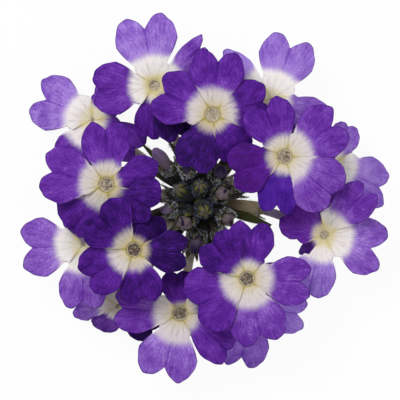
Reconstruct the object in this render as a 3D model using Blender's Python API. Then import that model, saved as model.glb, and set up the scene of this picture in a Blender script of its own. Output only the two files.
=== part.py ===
"""A verbena flower head, picked with a short stub of stalk and lying face up.

Fourteen open florets stand in three tiers round a hairy knot of green calyces and closed buds.
Each floret is one corolla: a thin curved tube that flares into five notched lobes. The tube sits
in the cup of its own calyx, and the calyces grow from one four-angled stalk.

Frame: +Z is up, the origin lies on the surface that the head rests on, under the middle of its
outline. Seen from above, +X is right and +Y is up. Sizes in the tables are millimetres.
"""

import math
from dataclasses import dataclass

import bmesh
import bpy
import numpy as np
from mathutils import Vector

MM = 0.001

# Driving dimensions, in millimetres unless the name or the comment says otherwise

# Petals: their thickness, and the ring round the throat that the lobes grow from
BLADE = 0.6
HUB_RADIUS = 2.1
THROAT_RADIUS = 1.25
THROAT_SINK = 0.3
BASE_HALF_DEG = 33.0

# The gap between two lobes, and the angle a lobe may reach over a neighbour that it clears in height
SLIT = 0.56
CLEAR_STEP = 1.1
FREE_TURN = math.radians(60.0)

# A lobe's outline, as shares of its reach: where it is widest, how full its tips are, how far the
# notch spreads, how far the sides bow out, and the height and number of its ripples
SHOULDER = 0.6
CROWN = 0.88
NOTCH_SPAN = 0.4
BULGE = 0.1
RIPPLE = 0.22
RIPPLE_TURN = 3.4
RIPPLE_STEP = 1.7
LEVEL_SHARE = 0.7

# Columns across a lobe from its clockwise edge (-1) to its anticlockwise edge (1), and rows outward
COLUMNS = (-1.0, -0.66, -0.3, 0.0, 0.3, 0.66, 1.0)
ROWS = (0.34, 0.68, 1.0)
LYING_ROWS = (0.34, 0.64, 0.84, 1.0)

# Corolla tube: how deep below the throat each ring lies, and its radius, outside and in the pit
TUBE_RADIUS = 0.8
TUBE_SIDES = 8
TUBE_RINGS = 5
FLARE = ((2.4, 0.85), (1.3, 1.04), (0.4, 1.75))
PIT = ((0.5, 1.05), (1.9, 0.62))

# Calyx: a cup that holds a tube or a bud with a gap all round
CALYX_SIDES = 10
CALYX_RINGS = 3
CALYX_BASE = 0.62
CALYX_WALL = 0.4
CALYX_FLARE = 1.1
CUP_DEPTH = 1.0
CUP_GAP = 0.4
CUP_FLARE = 1.05
FIT_GAP = 0.3
TOOTH = 1.2
TOOTH_INSIDE = 0.75
BUD_TOOTH = 0.9
CALYX_ROOT = 0.5
ROOT_DROP = 0.3
ROOT_SLOPE = 2.6

# Closed bud: rings from its neck to its blunt tip, as a share of its length and of its girth
BUD_SIDES = 8
BUD_NECK = 0.7
BUD_RINGS = ((0.0, BUD_NECK), (0.38, 0.735), (0.6, 1.0), (0.85, 0.8), (1.0, 0.3))

# Bract: rings as a share of its length, half its width and half its thickness
BRACT_SIDES = 6
BRACT_RISE = 0.05
BRACT_RINGS = ((0.08, 0.5, 0.34), (0.45, 0.8, 0.32), (0.75, 0.6, 0.3), (1.0, 0.16, 0.3))

# Stalk: the height and radius of each ring, and how deep its flats lie between its four corners
STALK_SIDES = 8
STALK_TURN = 20.0
STALK_FLAT = 0.84
STALK_RINGS = ((0.0, 1.75), (2.5, 1.61), (5.0, 1.7), (7.5, 1.74), (9.6, 1.35), (11.0, 0.58))

# Modelling distances: what is laid flat on the surface, and corners that are one
SETTLE = 0.14
WELD = 0.002

# The middle of the knot of buds, where the stalk stands
HEART = (-0.9, -0.7)


@dataclass(frozen=True)
class Lobe:
    """One notched lobe.

    turn, in degrees anticlockwise from +X, reach and notch, from the throat to the round tips
    and to the notch, and width are as seen from above. mid and tip are heights over the throat's
    rim, halfway out and at the tips. cup lifts both edges, sweep bends the tips anticlockwise, and
    skew is how much longer the anticlockwise tip is than the other. A lobe that lies comes down
    until its end is flat on the surface under the head.
    """

    turn: float
    reach: float
    notch: float
    width: float
    mid: float
    tip: float
    cup: float = 0.0
    sweep: float = 0.0
    skew: float = 0.0
    lies: bool = False


@dataclass(frozen=True)
class Floret:
    """One open floret: where its throat is, how the limb leans outward, and its calyx."""

    name: str
    throat: tuple
    lean: float
    calyx_reach: float
    calyx_height: float
    calyx_rise: float
    lobes: tuple


@dataclass(frozen=True)
class Bud:
    """One closed bud: its tip, the mouth and root of its calyx, its fattest radius and colour."""

    name: str
    tip: tuple
    mouth: tuple
    root: tuple
    girth: float
    tone: str


FLORETS = (
    Floret("corolla_01", (-9.0, 20.0, 11.0), 0.12, 10.8, 6.2, 0.1, (
        Lobe(100.5, 13.1, 10.4, 11.2, 0.2, -1.2),
        Lobe(184, 11.2, 10.5, 9.6, 0.2, -0.6),
        Lobe(262, 9.7, 9.1, 5.6, -0.8, -1.8),
        Lobe(296, 10.6, 9.8, 7.0, 0.4, 0.2),
        Lobe(36, 12.0, 10.4, 5.0, -0.2, -1.0, sweep=1.6, skew=0.8))),
    Floret("corolla_02", (-20.3, 13.9, 6.0), 0.2, 11.0, 3.4, 0.0, (
        Lobe(152, 11.4, 9.4, 10.4, -0.9, -6.6, lies=True),
        Lobe(238, 9.6, 8.7, 7.2, 0.3, -0.6),
        Lobe(281, 8.6, 7.8, 6.4, -0.9, -1.8),
        Lobe(322, 10.4, 9.2, 7.4, 0.3, -0.6, sweep=0.8),
        Lobe(52, 9.6, 8.6, 7.2, -0.2, -0.8))),
    Floret("corolla_03", (1.35, 14.7, 16.2), 0.06, 6.2, 8.6, 0.35, (
        Lobe(84, 11.7, 9.5, 9.8, 0.5, -0.3),
        Lobe(156, 11.1, 9.2, 10.0, 0.3, -0.4),
        Lobe(249, 10.6, 9.8, 8.4, 0.2, -0.6),
        Lobe(302, 9.0, 8.2, 8.2, 0.2, -0.9),
        Lobe(14, 10.5, 9.2, 9.4, 0.0, -0.9))),
    Floret("corolla_04", (-17.6, 2.2, 15.6), 0.06, 6.2, 8.6, 0.35, (
        Lobe(91, 11.4, 9.7, 8.8, 0.4, -0.4),
        Lobe(167, 12.0, 10.1, 10.4, 0.3, -0.8),
        Lobe(233, 10.5, 9.9, 7.4, -0.8, -2.2),
        Lobe(329, 9.9, 8.8, 7.8, 0.5, 0.3, sweep=0.6),
        Lobe(8, 9.8, 8.7, 8.8, -0.7, -1.2))),
    Floret("corolla_05", (14.2, 7.2, 17.2), 0.05, 6.2, 8.8, 0.35, (
        Lobe(111, 10.8, 8.7, 9.9, 0.6, 0.0),
        Lobe(33, 12.1, 9.9, 11.0, 0.4, -0.7),
        Lobe(321, 11.7, 10.7, 10.8, 0.3, -0.9),
        Lobe(261, 10.4, 8.8, 7.6, 0.3, -0.4),
        Lobe(197, 10.2, 9.2, 9.2, 0.4, -0.2))),
    Floret("corolla_06", (11.9, 17.3, 11.2), 0.12, 9.6, 6.4, 0.1, (
        Lobe(70, 12.4, 9.9, 10.2, 0.1, -1.4),
        Lobe(141, 12.2, 10.3, 7.0, 0.1, -0.8, sweep=-0.4),
        Lobe(342, 12.0, 10.8, 9.0, -0.1, -1.2),
        Lobe(205, 8.0, 7.2, 7.4, -0.4, -1.0),
        Lobe(268, 8.0, 7.2, 7.4, -0.4, -1.0))),
    Floret("corolla_07", (22.9, 5.9, 6.2), 0.2, 7.4, 3.6, 0.0, (
        Lobe(339, 11.2, 9.6, 8.8, -1.0, -7.0, skew=-1.6, lies=True),
        Lobe(62, 8.2, 7.5, 6.0, 0.0, -0.8),
        Lobe(130, 8.6, 7.6, 8.0, -0.4, -1.2),
        Lobe(200, 8.4, 7.4, 8.0, -0.6, -1.6),
        Lobe(266, 9.0, 8.0, 8.0, -0.6, -1.6))),
    Floret("corolla_08", (21.4, -6.8, 11.0), 0.1, 10.8, 6.2, 0.1, (
        Lobe(49, 11.7, 10.1, 7.4, 2.4, 3.6, cup=-0.6, sweep=-0.5),
        Lobe(340, 11.5, 8.7, 10.4, 0.0, -1.2),
        Lobe(256, 11.4, 10.4, 8.4, 0.0, -1.0),
        Lobe(150, 8.3, 7.5, 7.6, -0.2, -1.0),
        Lobe(226, 5.5, 5.2, 3.2, -2.0, -4.6))),
    Floret("corolla_09", (7.5, -14.6, 16.2), 0.06, 6.2, 8.6, 0.35, (
        Lobe(85, 10.4, 8.8, 8.6, -0.3, -1.0),
        Lobe(134, 9.8, 8.9, 9.0, 1.2, 0.9),
        Lobe(212, 11.2, 9.9, 10.8, 0.2, -0.6),
        Lobe(284, 12.1, 10.2, 10.2, 0.3, -0.8),
        Lobe(357, 11.6, 9.5, 8.8, 0.2, -0.6))),
    Floret("corolla_10", (-12.7, -9.4, 16.0), 0.06, 6.2, 8.6, 0.35, (
        Lobe(135, 9.9, 8.7, 10.4, 1.4, 1.7),
        Lobe(62, 7.4, 6.8, 8.4, -1.0, -2.4),
        Lobe(357, 9.7, 8.4, 7.6, 0.1, -0.6),
        Lobe(281, 9.8, 8.5, 7.6, 0.1, -0.6),
        Lobe(212, 10.4, 9.2, 9.2, 0.2, -0.7))),
    Floret("corolla_11", (-4.5, -20.9, 10.8), 0.12, 9.4, 6.0, 0.1, (
        Lobe(254, 12.5, 10.1, 10.8, 0.2, -1.2),
        Lobe(175, 12.0, 10.3, 8.6, 0.0, -1.0),
        Lobe(94, 7.6, 7.1, 6.6, -0.2, -1.2),
        Lobe(333, 11.4, 10.6, 6.4, 0.2, -0.6, sweep=-1.8),
        Lobe(24, 8.8, 7.8, 8.0, -0.4, -1.0))),
    Floret("corolla_12", (-21.8, -8.5, 10.6), 0.12, 9.6, 6.0, 0.1, (
        Lobe(187, 11.5, 9.2, 10.6, 0.2, -1.0),
        Lobe(267, 11.8, 10.1, 8.8, 0.1, -1.2),
        Lobe(102, 10.4, 9.2, 6.8, 0.0, -0.6),
        Lobe(38, 8.6, 7.6, 7.4, -0.5, -1.2),
        Lobe(340, 6.2, 5.6, 6.0, -0.4, -0.8))),
    Floret("corolla_13", (-15.7, -19.6, 5.8), 0.2, 10.6, 3.3, 0.0, (
        Lobe(183, 8.5, 7.7, 6.6, -1.2, -7.2, lies=True),
        Lobe(233, 6.3, 5.9, 6.2, -1.8, -4.0, sweep=-0.5),
        Lobe(324, 8.4, 7.6, 6.6, -0.6, -1.6),
        Lobe(36, 8.6, 7.6, 7.0, -0.6, -1.6),
        Lobe(112, 8.8, 7.8, 8.0, -0.6, -1.6))),
    Floret("corolla_14", (9.0, -19.8, 5.8), 0.2, 10.8, 3.3, 0.0, (
        Lobe(260, 11.2, 9.6, 8.8, -0.9, -6.6, skew=-0.6, lies=True),
        Lobe(350, 9.6, 7.8, 7.8, -0.4, -1.8),
        Lobe(50, 8.6, 7.6, 8.0, -0.6, -1.6),
        Lobe(120, 8.6, 7.6, 8.0, -0.6, -1.6),
        Lobe(190, 8.8, 7.8, 8.4, -0.6, -1.6))),
)

BUDS = (
    Bud("bud_01", (-5.4, 1.6, 14.2), (-4.4, 1.1, 12.2), (-1.6, -0.2, 9.0), 0.95, "pink"),
    Bud("bud_02", (-0.9, 2.3, 14.6), (-0.9, 1.7, 12.8), (-0.9, 0.2, 9.6), 0.9, "green"),
    Bud("bud_03", (3.5, 0.8, 14.8), (2.7, 0.4, 12.6), (0.0, -0.5, 9.2), 1.15, "pink"),
    Bud("bud_04", (0.2, -3.0, 14.8), (-0.2, -2.4, 13.0), (-0.8, -1.2, 9.4), 0.95, "pink"),
    Bud("bud_05", (-4.0, -5.2, 14.0), (-3.3, -4.2, 12.2), (-1.7, -1.6, 8.6), 1.0, "pink"),
    Bud("bud_06", (4.6, -4.4, 13.9), (3.6, -3.6, 12.0), (0.1, -1.5, 8.6), 1.1, "purple"),
    Bud("bud_07", (3.2, 5.2, 14.0), (2.2, 3.8, 12.0), (-0.3, 0.4, 8.4), 1.2, "purple"),
    Bud("bud_08", (-3.4, 5.9, 13.8), (-3.0, 4.4, 12.2), (-1.4, 0.5, 8.6), 0.9, "purple"),
    Bud("bud_09", (-9.2, 8.6, 12.4), (-6.2, 5.0, 9.2), (-1.8, 0.3, 6.6), 1.3, "lilac"),
    Bud("bud_10", (-7.9, -2.4, 13.4), (-5.9, -2.2, 11.9), (-1.8, -0.9, 8.6), 0.9, "lilac"),
    Bud("bud_11", (-1.7, -10.2, 11.6), (-1.4, -6.8, 9.8), (-1.0, -1.6, 7.2), 1.1, "purple"),
)

# Narrow bracts that grow from the stalk: the way each points, in degrees, its height and length
BRACTS = ((76.0, 2.6, 6.5), (186.0, 2.8, 6.5), (336.0, 2.6, 6.5), (282.0, 7.2, 12.4))

COLOURS = {
    "petal": (0.135, 0.03, 0.36, 1.0),
    "green": (0.075, 0.11, 0.03, 1.0),
    "pink": (0.36, 0.25, 0.25, 1.0),
    "lilac": (0.3, 0.22, 0.42, 1.0),
    "purple": (0.06, 0.03, 0.15, 1.0),
}


def clear_scene():
    """Remove every object that the scene starts with."""
    for obj in list(bpy.data.objects):
        bpy.data.objects.remove(obj, do_unlink=True)


def finish(name, colour, roughness):
    """Make a plain material of one colour."""
    material = bpy.data.materials.new(name)
    material.use_nodes = True
    shader = material.node_tree.nodes["Principled BSDF"]
    shader.inputs["Base Color"].default_value = colour
    shader.inputs["Roughness"].default_value = roughness
    shader.inputs["Metallic"].default_value = 0.0
    return material


def add_object(name, points, faces, material):
    """Put a mesh, given in millimetres, into the scene as a smooth-shaded object."""
    mesh = bpy.data.meshes.new(name)
    mesh.from_pydata((np.asarray(points) * MM).tolist(), [], faces)
    mesh.materials.append(material)
    mesh.shade_smooth()
    mesh.set_sharp_from_angle(angle=math.radians(50))
    obj = bpy.data.objects.new(name, mesh)
    bpy.context.scene.collection.objects.link(obj)
    return obj


def baked(obj):
    """Apply an object's modifiers and return it."""
    graph = bpy.context.evaluated_depsgraph_get()
    mesh = bpy.data.meshes.new_from_object(obj.evaluated_get(graph))
    obj.modifiers.clear()
    old = obj.data
    obj.data = mesh
    bpy.data.meshes.remove(old)
    return obj


def one_skin(obj):
    """Keep a body's largest skin, without the hollows sealed inside it or faces folded shut."""
    form = bmesh.new()
    form.from_mesh(obj.data)
    bmesh.ops.remove_doubles(form, verts=form.verts[:], dist=WELD * MM)
    left = set(form.verts)
    skins = []
    while left:
        skin, edge = set(), [left.pop()]
        while edge:
            vertex = edge.pop()
            skin.add(vertex)
            near = [link.other_vert(vertex) for link in vertex.link_edges]
            fresh = [other for other in near if other in left]
            left.difference_update(fresh)
            edge.extend(fresh)
        skins.append(skin)
    keep = max(skins, key=len)
    loose = [vertex for vertex in form.verts if vertex not in keep]
    bmesh.ops.delete(form, geom=loose, context="VERTS")
    bmesh.ops.triangulate(form, faces=form.faces[:])
    twins = {}
    for face in form.faces:
        twins.setdefault(frozenset(face.verts), []).append(face)
    folded = [face for pair in twins.values() if len(pair) > 1 for face in pair]
    bmesh.ops.delete(form, geom=folded, context="FACES")
    form.to_mesh(obj.data)
    form.free()
    return obj


def fused(name, pieces):
    """Join overlapping closed objects into one body, which keeps the first one's material."""
    first = pieces[0]
    group = bpy.data.collections.new(name + "_pieces")
    for piece in pieces[1:]:
        group.objects.link(piece)
    union = first.modifiers.new("union", "BOOLEAN")
    union.operation = "UNION"
    union.operand_type = "COLLECTION"
    union.collection = group
    union.solver = "EXACT"
    baked(first)
    for piece in pieces[1:]:
        bpy.data.objects.remove(piece, do_unlink=True)
    bpy.data.collections.remove(group)
    first.name = name
    return one_skin(first)


def cross_axes(axis):
    """Two unit directions square to an axis, the first as level as it can be."""
    axis = Vector(axis).normalized()
    level = Vector((-axis.y, axis.x, 0.0))
    if level.length < 0.001:
        level = Vector((1.0, 0.0, 0.0))
    level.normalize()
    return np.array(level), np.array(axis.cross(level))


def ringed(centres, axes, radii, sides, lifts=None):
    """A closed tube through rings of the same number of corners, capped at both ends.

    radii holds one pair for each ring, across and along its own two cross directions; lifts
    moves single corners along the ring's axis, which makes teeth.
    """
    turns = 2.0 * math.pi * np.arange(sides) / sides
    side = None
    points = []
    for i, (centre, axis, pair) in enumerate(zip(centres, axes, radii)):
        axis = np.asarray(axis, float) / np.linalg.norm(axis)
        if side is None:
            side = cross_axes(axis)[0]
        side = side - axis * side.dot(axis)
        side = side / np.linalg.norm(side)
        other = np.cross(axis, side)
        ring = np.outer(np.cos(turns) * pair[0], side) + np.outer(np.sin(turns) * pair[1], other)
        if lifts is not None and lifts[i] is not None:
            ring = ring + np.outer(lifts[i], axis)
        points.append(np.asarray(centre, float) + ring)
    last = (len(points) - 1) * sides
    faces = [tuple(range(sides))[::-1], tuple(range(last, last + sides))]
    for row in range(len(points) - 1):
        for k in range(sides):
            nxt = (k + 1) % sides
            low, high = row * sides, (row + 1) * sides
            faces.append((low + k, low + nxt, high + nxt))
            faces.append((low + k, high + nxt, high + k))
    return np.vstack(points), faces


def smooth_path(start, start_axis, end, end_axis, count):
    """Points and directions on a cubic that leaves along one axis and arrives along another."""
    start, end = np.asarray(start, float), np.asarray(end, float)
    pull = np.linalg.norm(end - start)
    a = np.asarray(start_axis, float) * pull
    b = np.asarray(end_axis, float) * pull
    t = np.linspace(0.0, 1.0, count)[:, None]
    points = ((2 * t**3 - 3 * t**2 + 1) * start + (t**3 - 2 * t**2 + t) * a
              + (3 * t**2 - 2 * t**3) * end + (t**3 - t**2) * b)
    ways = ((6 * t**2 - 6 * t) * start + (3 * t**2 - 4 * t + 1) * a
            + (6 * t - 6 * t**2) * end + (3 * t**2 - 2 * t) * b)
    return points, ways


def smooth_step(value, low, high):
    """Rise from 0 to 1 between two values, level at both ends."""
    t = np.clip((value - low) / (high - low), 0.0, 1.0)
    return t * t * (3.0 - 2.0 * t)


def sector_shares(lobes, index):
    """The lobe's share of the angle to its clockwise and anticlockwise neighbour, and if it clears them.

    The angle between two lobes is shared out in the ratio of their widths.
    """
    turns = [lobe.turn for lobe in lobes]
    here = turns[index]
    gaps = sorted(((turn - here) % 360.0, i) for i, turn in enumerate(turns) if i != index)
    ahead, after = gaps[0]
    behind, before = gaps[-1]
    behind = 360.0 - behind
    own = lobes[index].width
    clear = [abs(lobes[i].mid - lobes[index].mid) > CLEAR_STEP for i in (before, after)]
    shares = (math.radians(behind) * own / (own + lobes[before].width),
              math.radians(ahead) * own / (own + lobes[after].width))
    return shares, clear


def rim_point(lobe, t):
    """A point of the lobe's rim, seen from above: over two round tips with the notch between them."""
    swing = t * math.pi / 2
    shoulder = SHOULDER * lobe.reach
    top = shoulder + (lobe.reach - shoulder) / CROWN
    dip = (top - lobe.notch) * max(0.0, 1.0 - abs(t) / NOTCH_SPAN) ** 1.5
    crown = (top - shoulder) * max(math.cos(swing), 0.0) ** 0.9
    longer = lobe.skew / 2 * max(-1.0, min(1.0, t / NOTCH_SPAN))
    return np.array((shoulder + crown - dip + longer, lobe.width / 2 * math.sin(swing)))


def lobe_outline(lobe, shares, clear, t, s):
    """A point of the lobe seen from above, along (u) and across (v) its midline.

    Rows run straight from the hub to the rim, bowed out a little. Where a lobe at the same height
    is close, each row is drawn in until its edge stops short of the line that parts them.
    """
    side = 0 if t < 0 else 1
    base_turn = min(math.radians(BASE_HALF_DEG), shares[side] - SLIT / 2 / HUB_RADIUS)

    def spread(across):
        root = np.array((math.cos(base_turn * across), math.sin(base_turn * across))) * HUB_RADIUS
        u, v = root + (rim_point(lobe, across) - root) * s
        v = v * (1.0 + BULGE * math.sin(math.pi * s))
        return math.hypot(u, v), math.atan2(v, u)

    far, turn = spread(t)
    edge_far, edge_turn = spread(-1.0 if side == 0 else 1.0)
    free = FREE_TURN * float(smooth_step(s, ROWS[0], ROWS[1])) if clear[side] else 0.0
    most = shares[side] - SLIT / 2 / edge_far + free
    turn = turn * min(1.0, most / abs(edge_turn))
    u, v = far * math.cos(turn), far * math.sin(turn)
    return u, v + lobe.sweep * (u / lobe.reach) ** 2


def lobe_height(lobe, u, v, phase):
    """Height of the lobe over the throat's rim at a point seen from above."""
    far = math.hypot(u, v)
    s = max(0.0, (far - HUB_RADIUS) / (lobe.reach - HUB_RADIUS))
    across = v / (lobe.width / 2)
    arc = (4 * lobe.mid - lobe.tip) * s + (2 * lobe.tip - 4 * lobe.mid) * s * s
    rise = smooth_step(s, 0.0, LEVEL_SHARE)
    wave = RIPPLE * math.sin(RIPPLE_TURN * across + phase) * rise
    return arc + lobe.cup * across**2 * rise + wave


def outward(point):
    """Unit direction seen from above, from the middle of the head to a point."""
    way = np.array((point[0] - HEART[0], point[1] - HEART[1]))
    return way / np.linalg.norm(way)


def limb_sheet(floret):
    """The flat part of a corolla as one open sheet: a ring round the throat and five lobes."""
    x0, y0, z0 = floret.throat
    way = outward(floret.throat)
    points, faces, ring, inner = [], [], [], []

    def add(x, y, z, lies=False):
        height = z0 + z - floret.lean * (x * way[0] + y * way[1])
        points.append((x0 + x, y0 + y, BLADE / 2 if lies else max(height, BLADE / 2)))
        return len(points) - 1

    order = sorted(range(len(floret.lobes)), key=lambda i: floret.lobes[i].turn % 360.0)
    for index in order:
        lobe = floret.lobes[index]
        shares, clear = sector_shares(floret.lobes, index)
        facing = math.radians(lobe.turn)
        rows = []
        for s in (0.0,) + (LYING_ROWS if lobe.lies else ROWS):
            columns = (-1.0, 0.0, 1.0) if s == 0.0 else COLUMNS
            row = []
            for t in columns:
                u, v = lobe_outline(lobe, shares, clear, t, s)
                x = u * math.cos(facing) - v * math.sin(facing)
                y = u * math.sin(facing) + v * math.cos(facing)
                lies = lobe.lies and s >= LYING_ROWS[-2]
                row.append(add(x, y, lobe_height(lobe, u, v, RIPPLE_STEP * index + lobe.turn), lies))
            rows.append(row)
        base, first = rows[0], rows[1]
        ring.extend(base)
        middle = len(COLUMNS) // 2
        for k in range(middle):
            faces.append((base[0], first[k], first[k + 1]))
            faces.append((base[2], first[middle + k], first[middle + k + 1]))
        faces.append((base[0], first[middle], base[1]))
        faces.append((base[1], first[middle], base[2]))
        for low, high in zip(rows[1:], rows[2:]):
            for k in range(len(COLUMNS) - 1):
                if k < middle:
                    faces.append((low[k], high[k], high[k + 1]))
                    faces.append((low[k], high[k + 1], low[k + 1]))
                else:
                    faces.append((low[k], high[k], low[k + 1]))
                    faces.append((low[k + 1], high[k], high[k + 1]))
    for corner in ring:
        x = points[corner][0] - x0
        y = points[corner][1] - y0
        far = math.hypot(x, y)
        inner.append(add(x / far * THROAT_RADIUS, y / far * THROAT_RADIUS, -THROAT_SINK))
    for k, corner in enumerate(ring):
        nxt = (k + 1) % len(ring)
        faces.append((inner[k], corner, ring[nxt]))
        faces.append((inner[k], ring[nxt], inner[nxt]))
    return points, faces


def thickened(obj):
    """Give a sheet its thickness, and lay flat what comes down to the surface under the head."""
    wall = obj.modifiers.new("wall", "SOLIDIFY")
    wall.thickness = BLADE * MM
    wall.offset = 0.0
    baked(obj)
    for vertex in obj.data.vertices:
        if vertex.co.z < SETTLE * MM:
            vertex.co.z = 0.0
    return obj


def calyx_mouth(floret):
    """The middle of the calyx mouth and the direction in which the calyx points."""
    way = outward(floret.throat)
    mouth = np.array((HEART[0] + way[0] * floret.calyx_reach,
                      HEART[1] + way[1] * floret.calyx_reach, floret.calyx_height))
    axis = np.array((way[0], way[1], floret.calyx_rise))
    return mouth, axis / np.linalg.norm(axis)


def corolla(floret, material):
    """One open floret: its limb, and its tube down to the seat in the calyx."""
    points, faces = limb_sheet(floret)
    limb = thickened(add_object(floret.name, points, faces, material))
    mouth, axis = calyx_mouth(floret)
    seat = mouth - axis * (CUP_DEPTH - FIT_GAP)
    throat = np.array(floret.throat)
    way = outward(floret.throat)
    up = np.array((way[0] * floret.lean, way[1] * floret.lean, 1.0))
    up = up / np.linalg.norm(up)
    path, ways = smooth_path(seat, axis, throat - up * FLARE[0][0], up, TUBE_RINGS)
    above = FLARE[1:] + PIT
    centres = list(path) + [throat - up * depth for depth, radius in above]
    axes = list(ways) + [up] * len(above)
    radii = [TUBE_RADIUS] * (TUBE_RINGS - 1) + [radius for depth, radius in FLARE + PIT]
    points, faces = ringed(centres, axes, [(r, r) for r in radii], TUBE_SIDES)
    tube = add_object("tube", points, faces, material)
    return fused(floret.name, [limb, tube])


def calyx(root, mouth, axis, hole, tooth, material):
    """A green cup with five teeth, from its root on the stalk to its mouth."""
    root, mouth = np.asarray(root, float), np.asarray(mouth, float)
    length = np.linalg.norm(mouth - root)
    start = (mouth - root) / length
    path, ways = smooth_path(root, start, mouth, axis, CALYX_RINGS)
    rim = hole + CALYX_WALL
    teeth = np.where(np.arange(CALYX_SIDES) % 2 == 0, tooth, 0.0)
    centres = list(path) + [mouth, mouth - axis * CUP_DEPTH]
    axes = list(ways) + [axis, axis]
    radii = [CALYX_BASE, rim, rim * CALYX_FLARE, hole * CUP_FLARE, hole]
    lifts = [None, None, teeth, teeth * TOOTH_INSIDE, None]
    points, faces = ringed(centres, axes, [(r, r) for r in radii], CALYX_SIDES, lifts)
    return add_object("calyx", points, faces, material)


def bract(turn_deg, height, length, material):
    """A narrow green leaf that stands out from the stalk among the calyces."""
    turn = math.radians(turn_deg)
    way = np.array((math.cos(turn), math.sin(turn), BRACT_RISE))
    root = np.array((HEART[0], HEART[1], height))
    centres = [root + way * length * share for share, wide, thick in BRACT_RINGS]
    pairs = [(wide, thick) for share, wide, thick in BRACT_RINGS]
    points, faces = ringed(centres, [way] * len(centres), pairs, BRACT_SIDES)
    return add_object("bract", points, faces, material)


def stalk(material):
    """The four-angled stalk, from its cut end on the surface up into the knot of buds."""
    points, faces = [], []
    for height, radius in STALK_RINGS:
        for k in range(STALK_SIDES):
            turn = math.radians(360.0 * k / STALK_SIDES + STALK_TURN)
            far = radius * (1.0 if k % 2 == 0 else STALK_FLAT)
            points.append((HEART[0] + far * math.cos(turn), HEART[1] + far * math.sin(turn), height))
    for row in range(len(STALK_RINGS) - 1):
        for k in range(STALK_SIDES):
            nxt = (k + 1) % STALK_SIDES
            low, high = row * STALK_SIDES, (row + 1) * STALK_SIDES
            faces.append((low + k, low + nxt, high + nxt, high + k))
    last = (len(STALK_RINGS) - 1) * STALK_SIDES
    faces.append(tuple(range(STALK_SIDES))[::-1])
    faces.append(tuple(range(last, last + STALK_SIDES)))
    return add_object("stalk", points, faces, material)


def greenery(material):
    """The stalk with every calyx and bract that grows from it, as one body."""
    pieces = [stalk(material)]
    for floret in FLORETS:
        mouth, axis = calyx_mouth(floret)
        way = outward(floret.throat)
        root = np.array((HEART[0] + way[0] * CALYX_ROOT, HEART[1] + way[1] * CALYX_ROOT,
                         floret.calyx_height - ROOT_DROP - ROOT_SLOPE * floret.calyx_rise))
        pieces.append(calyx(root, mouth, axis, TUBE_RADIUS + CUP_GAP, TOOTH, material))
    for bud in BUDS:
        mouth, axis = bud_axis(bud)
        hole = bud.girth * BUD_NECK + CUP_GAP
        pieces.append(calyx(bud.root, mouth, axis, hole, BUD_TOOTH, material))
    for turn, height, length in BRACTS:
        pieces.append(bract(turn, height, length, material))
    return fused("stalk_and_calyces", pieces)


def bud_axis(bud):
    """The bud's calyx mouth and the direction from it to the bud's tip."""
    mouth, tip = np.array(bud.mouth, float), np.array(bud.tip, float)
    axis = (tip - mouth) / np.linalg.norm(tip - mouth)
    return mouth, axis


def closed_bud(bud, material):
    """A closed bud: a thin neck in the calyx and a rounded head that comes to a blunt tip."""
    mouth, axis = bud_axis(bud)
    tip = np.array(bud.tip, float)
    length = np.linalg.norm(tip - mouth)
    seat = mouth - axis * (CUP_DEPTH - FIT_GAP)
    centres = [seat] + [mouth + axis * length * along for along, wide in BUD_RINGS]
    radii = [bud.girth * BUD_NECK] + [bud.girth * wide for along, wide in BUD_RINGS]
    points, faces = ringed(centres, [axis] * len(centres), [(r, r) for r in radii], BUD_SIDES)
    return add_object(bud.name, points, faces, material)


def main():
    """Build every piece of the head."""
    clear_scene()
    petal = finish("petal", COLOURS["petal"], 0.55)
    green = finish("calyx_green", COLOURS["green"], 0.7)
    greenery(green)
    for floret in FLORETS:
        corolla(floret, petal)
    for bud in BUDS:
        closed_bud(bud, finish(bud.name, COLOURS[bud.tone], 0.6))


main()
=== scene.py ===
"""A verbena flower head, face up on a pale light table: petals, tubes, calyces, buds and hairs.

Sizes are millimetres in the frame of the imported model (+Z up, origin under the middle of the head)
until a mesh is made, which is in metres. Every surface is a function of two parameters on a grid.
"""

import logging
import math
from dataclasses import dataclass, field
from enum import Enum
from typing import Any

import bmesh
import bpy
import numpy as np
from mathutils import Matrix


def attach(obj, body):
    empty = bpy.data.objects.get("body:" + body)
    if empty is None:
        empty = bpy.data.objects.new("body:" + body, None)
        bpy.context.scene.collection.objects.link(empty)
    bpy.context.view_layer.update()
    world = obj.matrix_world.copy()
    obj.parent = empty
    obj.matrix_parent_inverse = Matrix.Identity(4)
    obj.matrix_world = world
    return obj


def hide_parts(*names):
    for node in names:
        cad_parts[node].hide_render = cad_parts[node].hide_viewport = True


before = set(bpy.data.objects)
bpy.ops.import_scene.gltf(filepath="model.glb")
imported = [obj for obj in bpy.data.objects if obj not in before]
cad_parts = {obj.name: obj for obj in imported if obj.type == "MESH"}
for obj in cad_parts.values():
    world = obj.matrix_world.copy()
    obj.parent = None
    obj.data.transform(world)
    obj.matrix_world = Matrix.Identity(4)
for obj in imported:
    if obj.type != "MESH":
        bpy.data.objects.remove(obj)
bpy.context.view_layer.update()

LOG = logging.getLogger("verbena")
Point = tuple[float, float, float]
Colour = tuple[float, float, float]
Tuft = tuple[np.ndarray, np.ndarray, np.ndarray]

MM = 0.001
WELD = 2e-6
SEED = 20

# The middle of the head, seen from above
HEART = np.array((-0.9, -0.7))

# The ring that a floret's lobes grow from, the hole in it and how deep its lip turns down
HUB_RADIUS = 2.1
THROAT_RADIUS = 1.25
THROAT_SINK = 0.3

# How sharply a petal turns along the table, free or lying on it, and how far over the table it stays
TABLE_BEND = 12.0
LYING_TABLE_BEND = 5.0
FLOOR_CLEARANCE = 0.12

# Radii of the hairs at their roots
CALYX_HAIR = 0.026
RIM_HAIR = 0.038
THROAT_HAIR = 0.05


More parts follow.
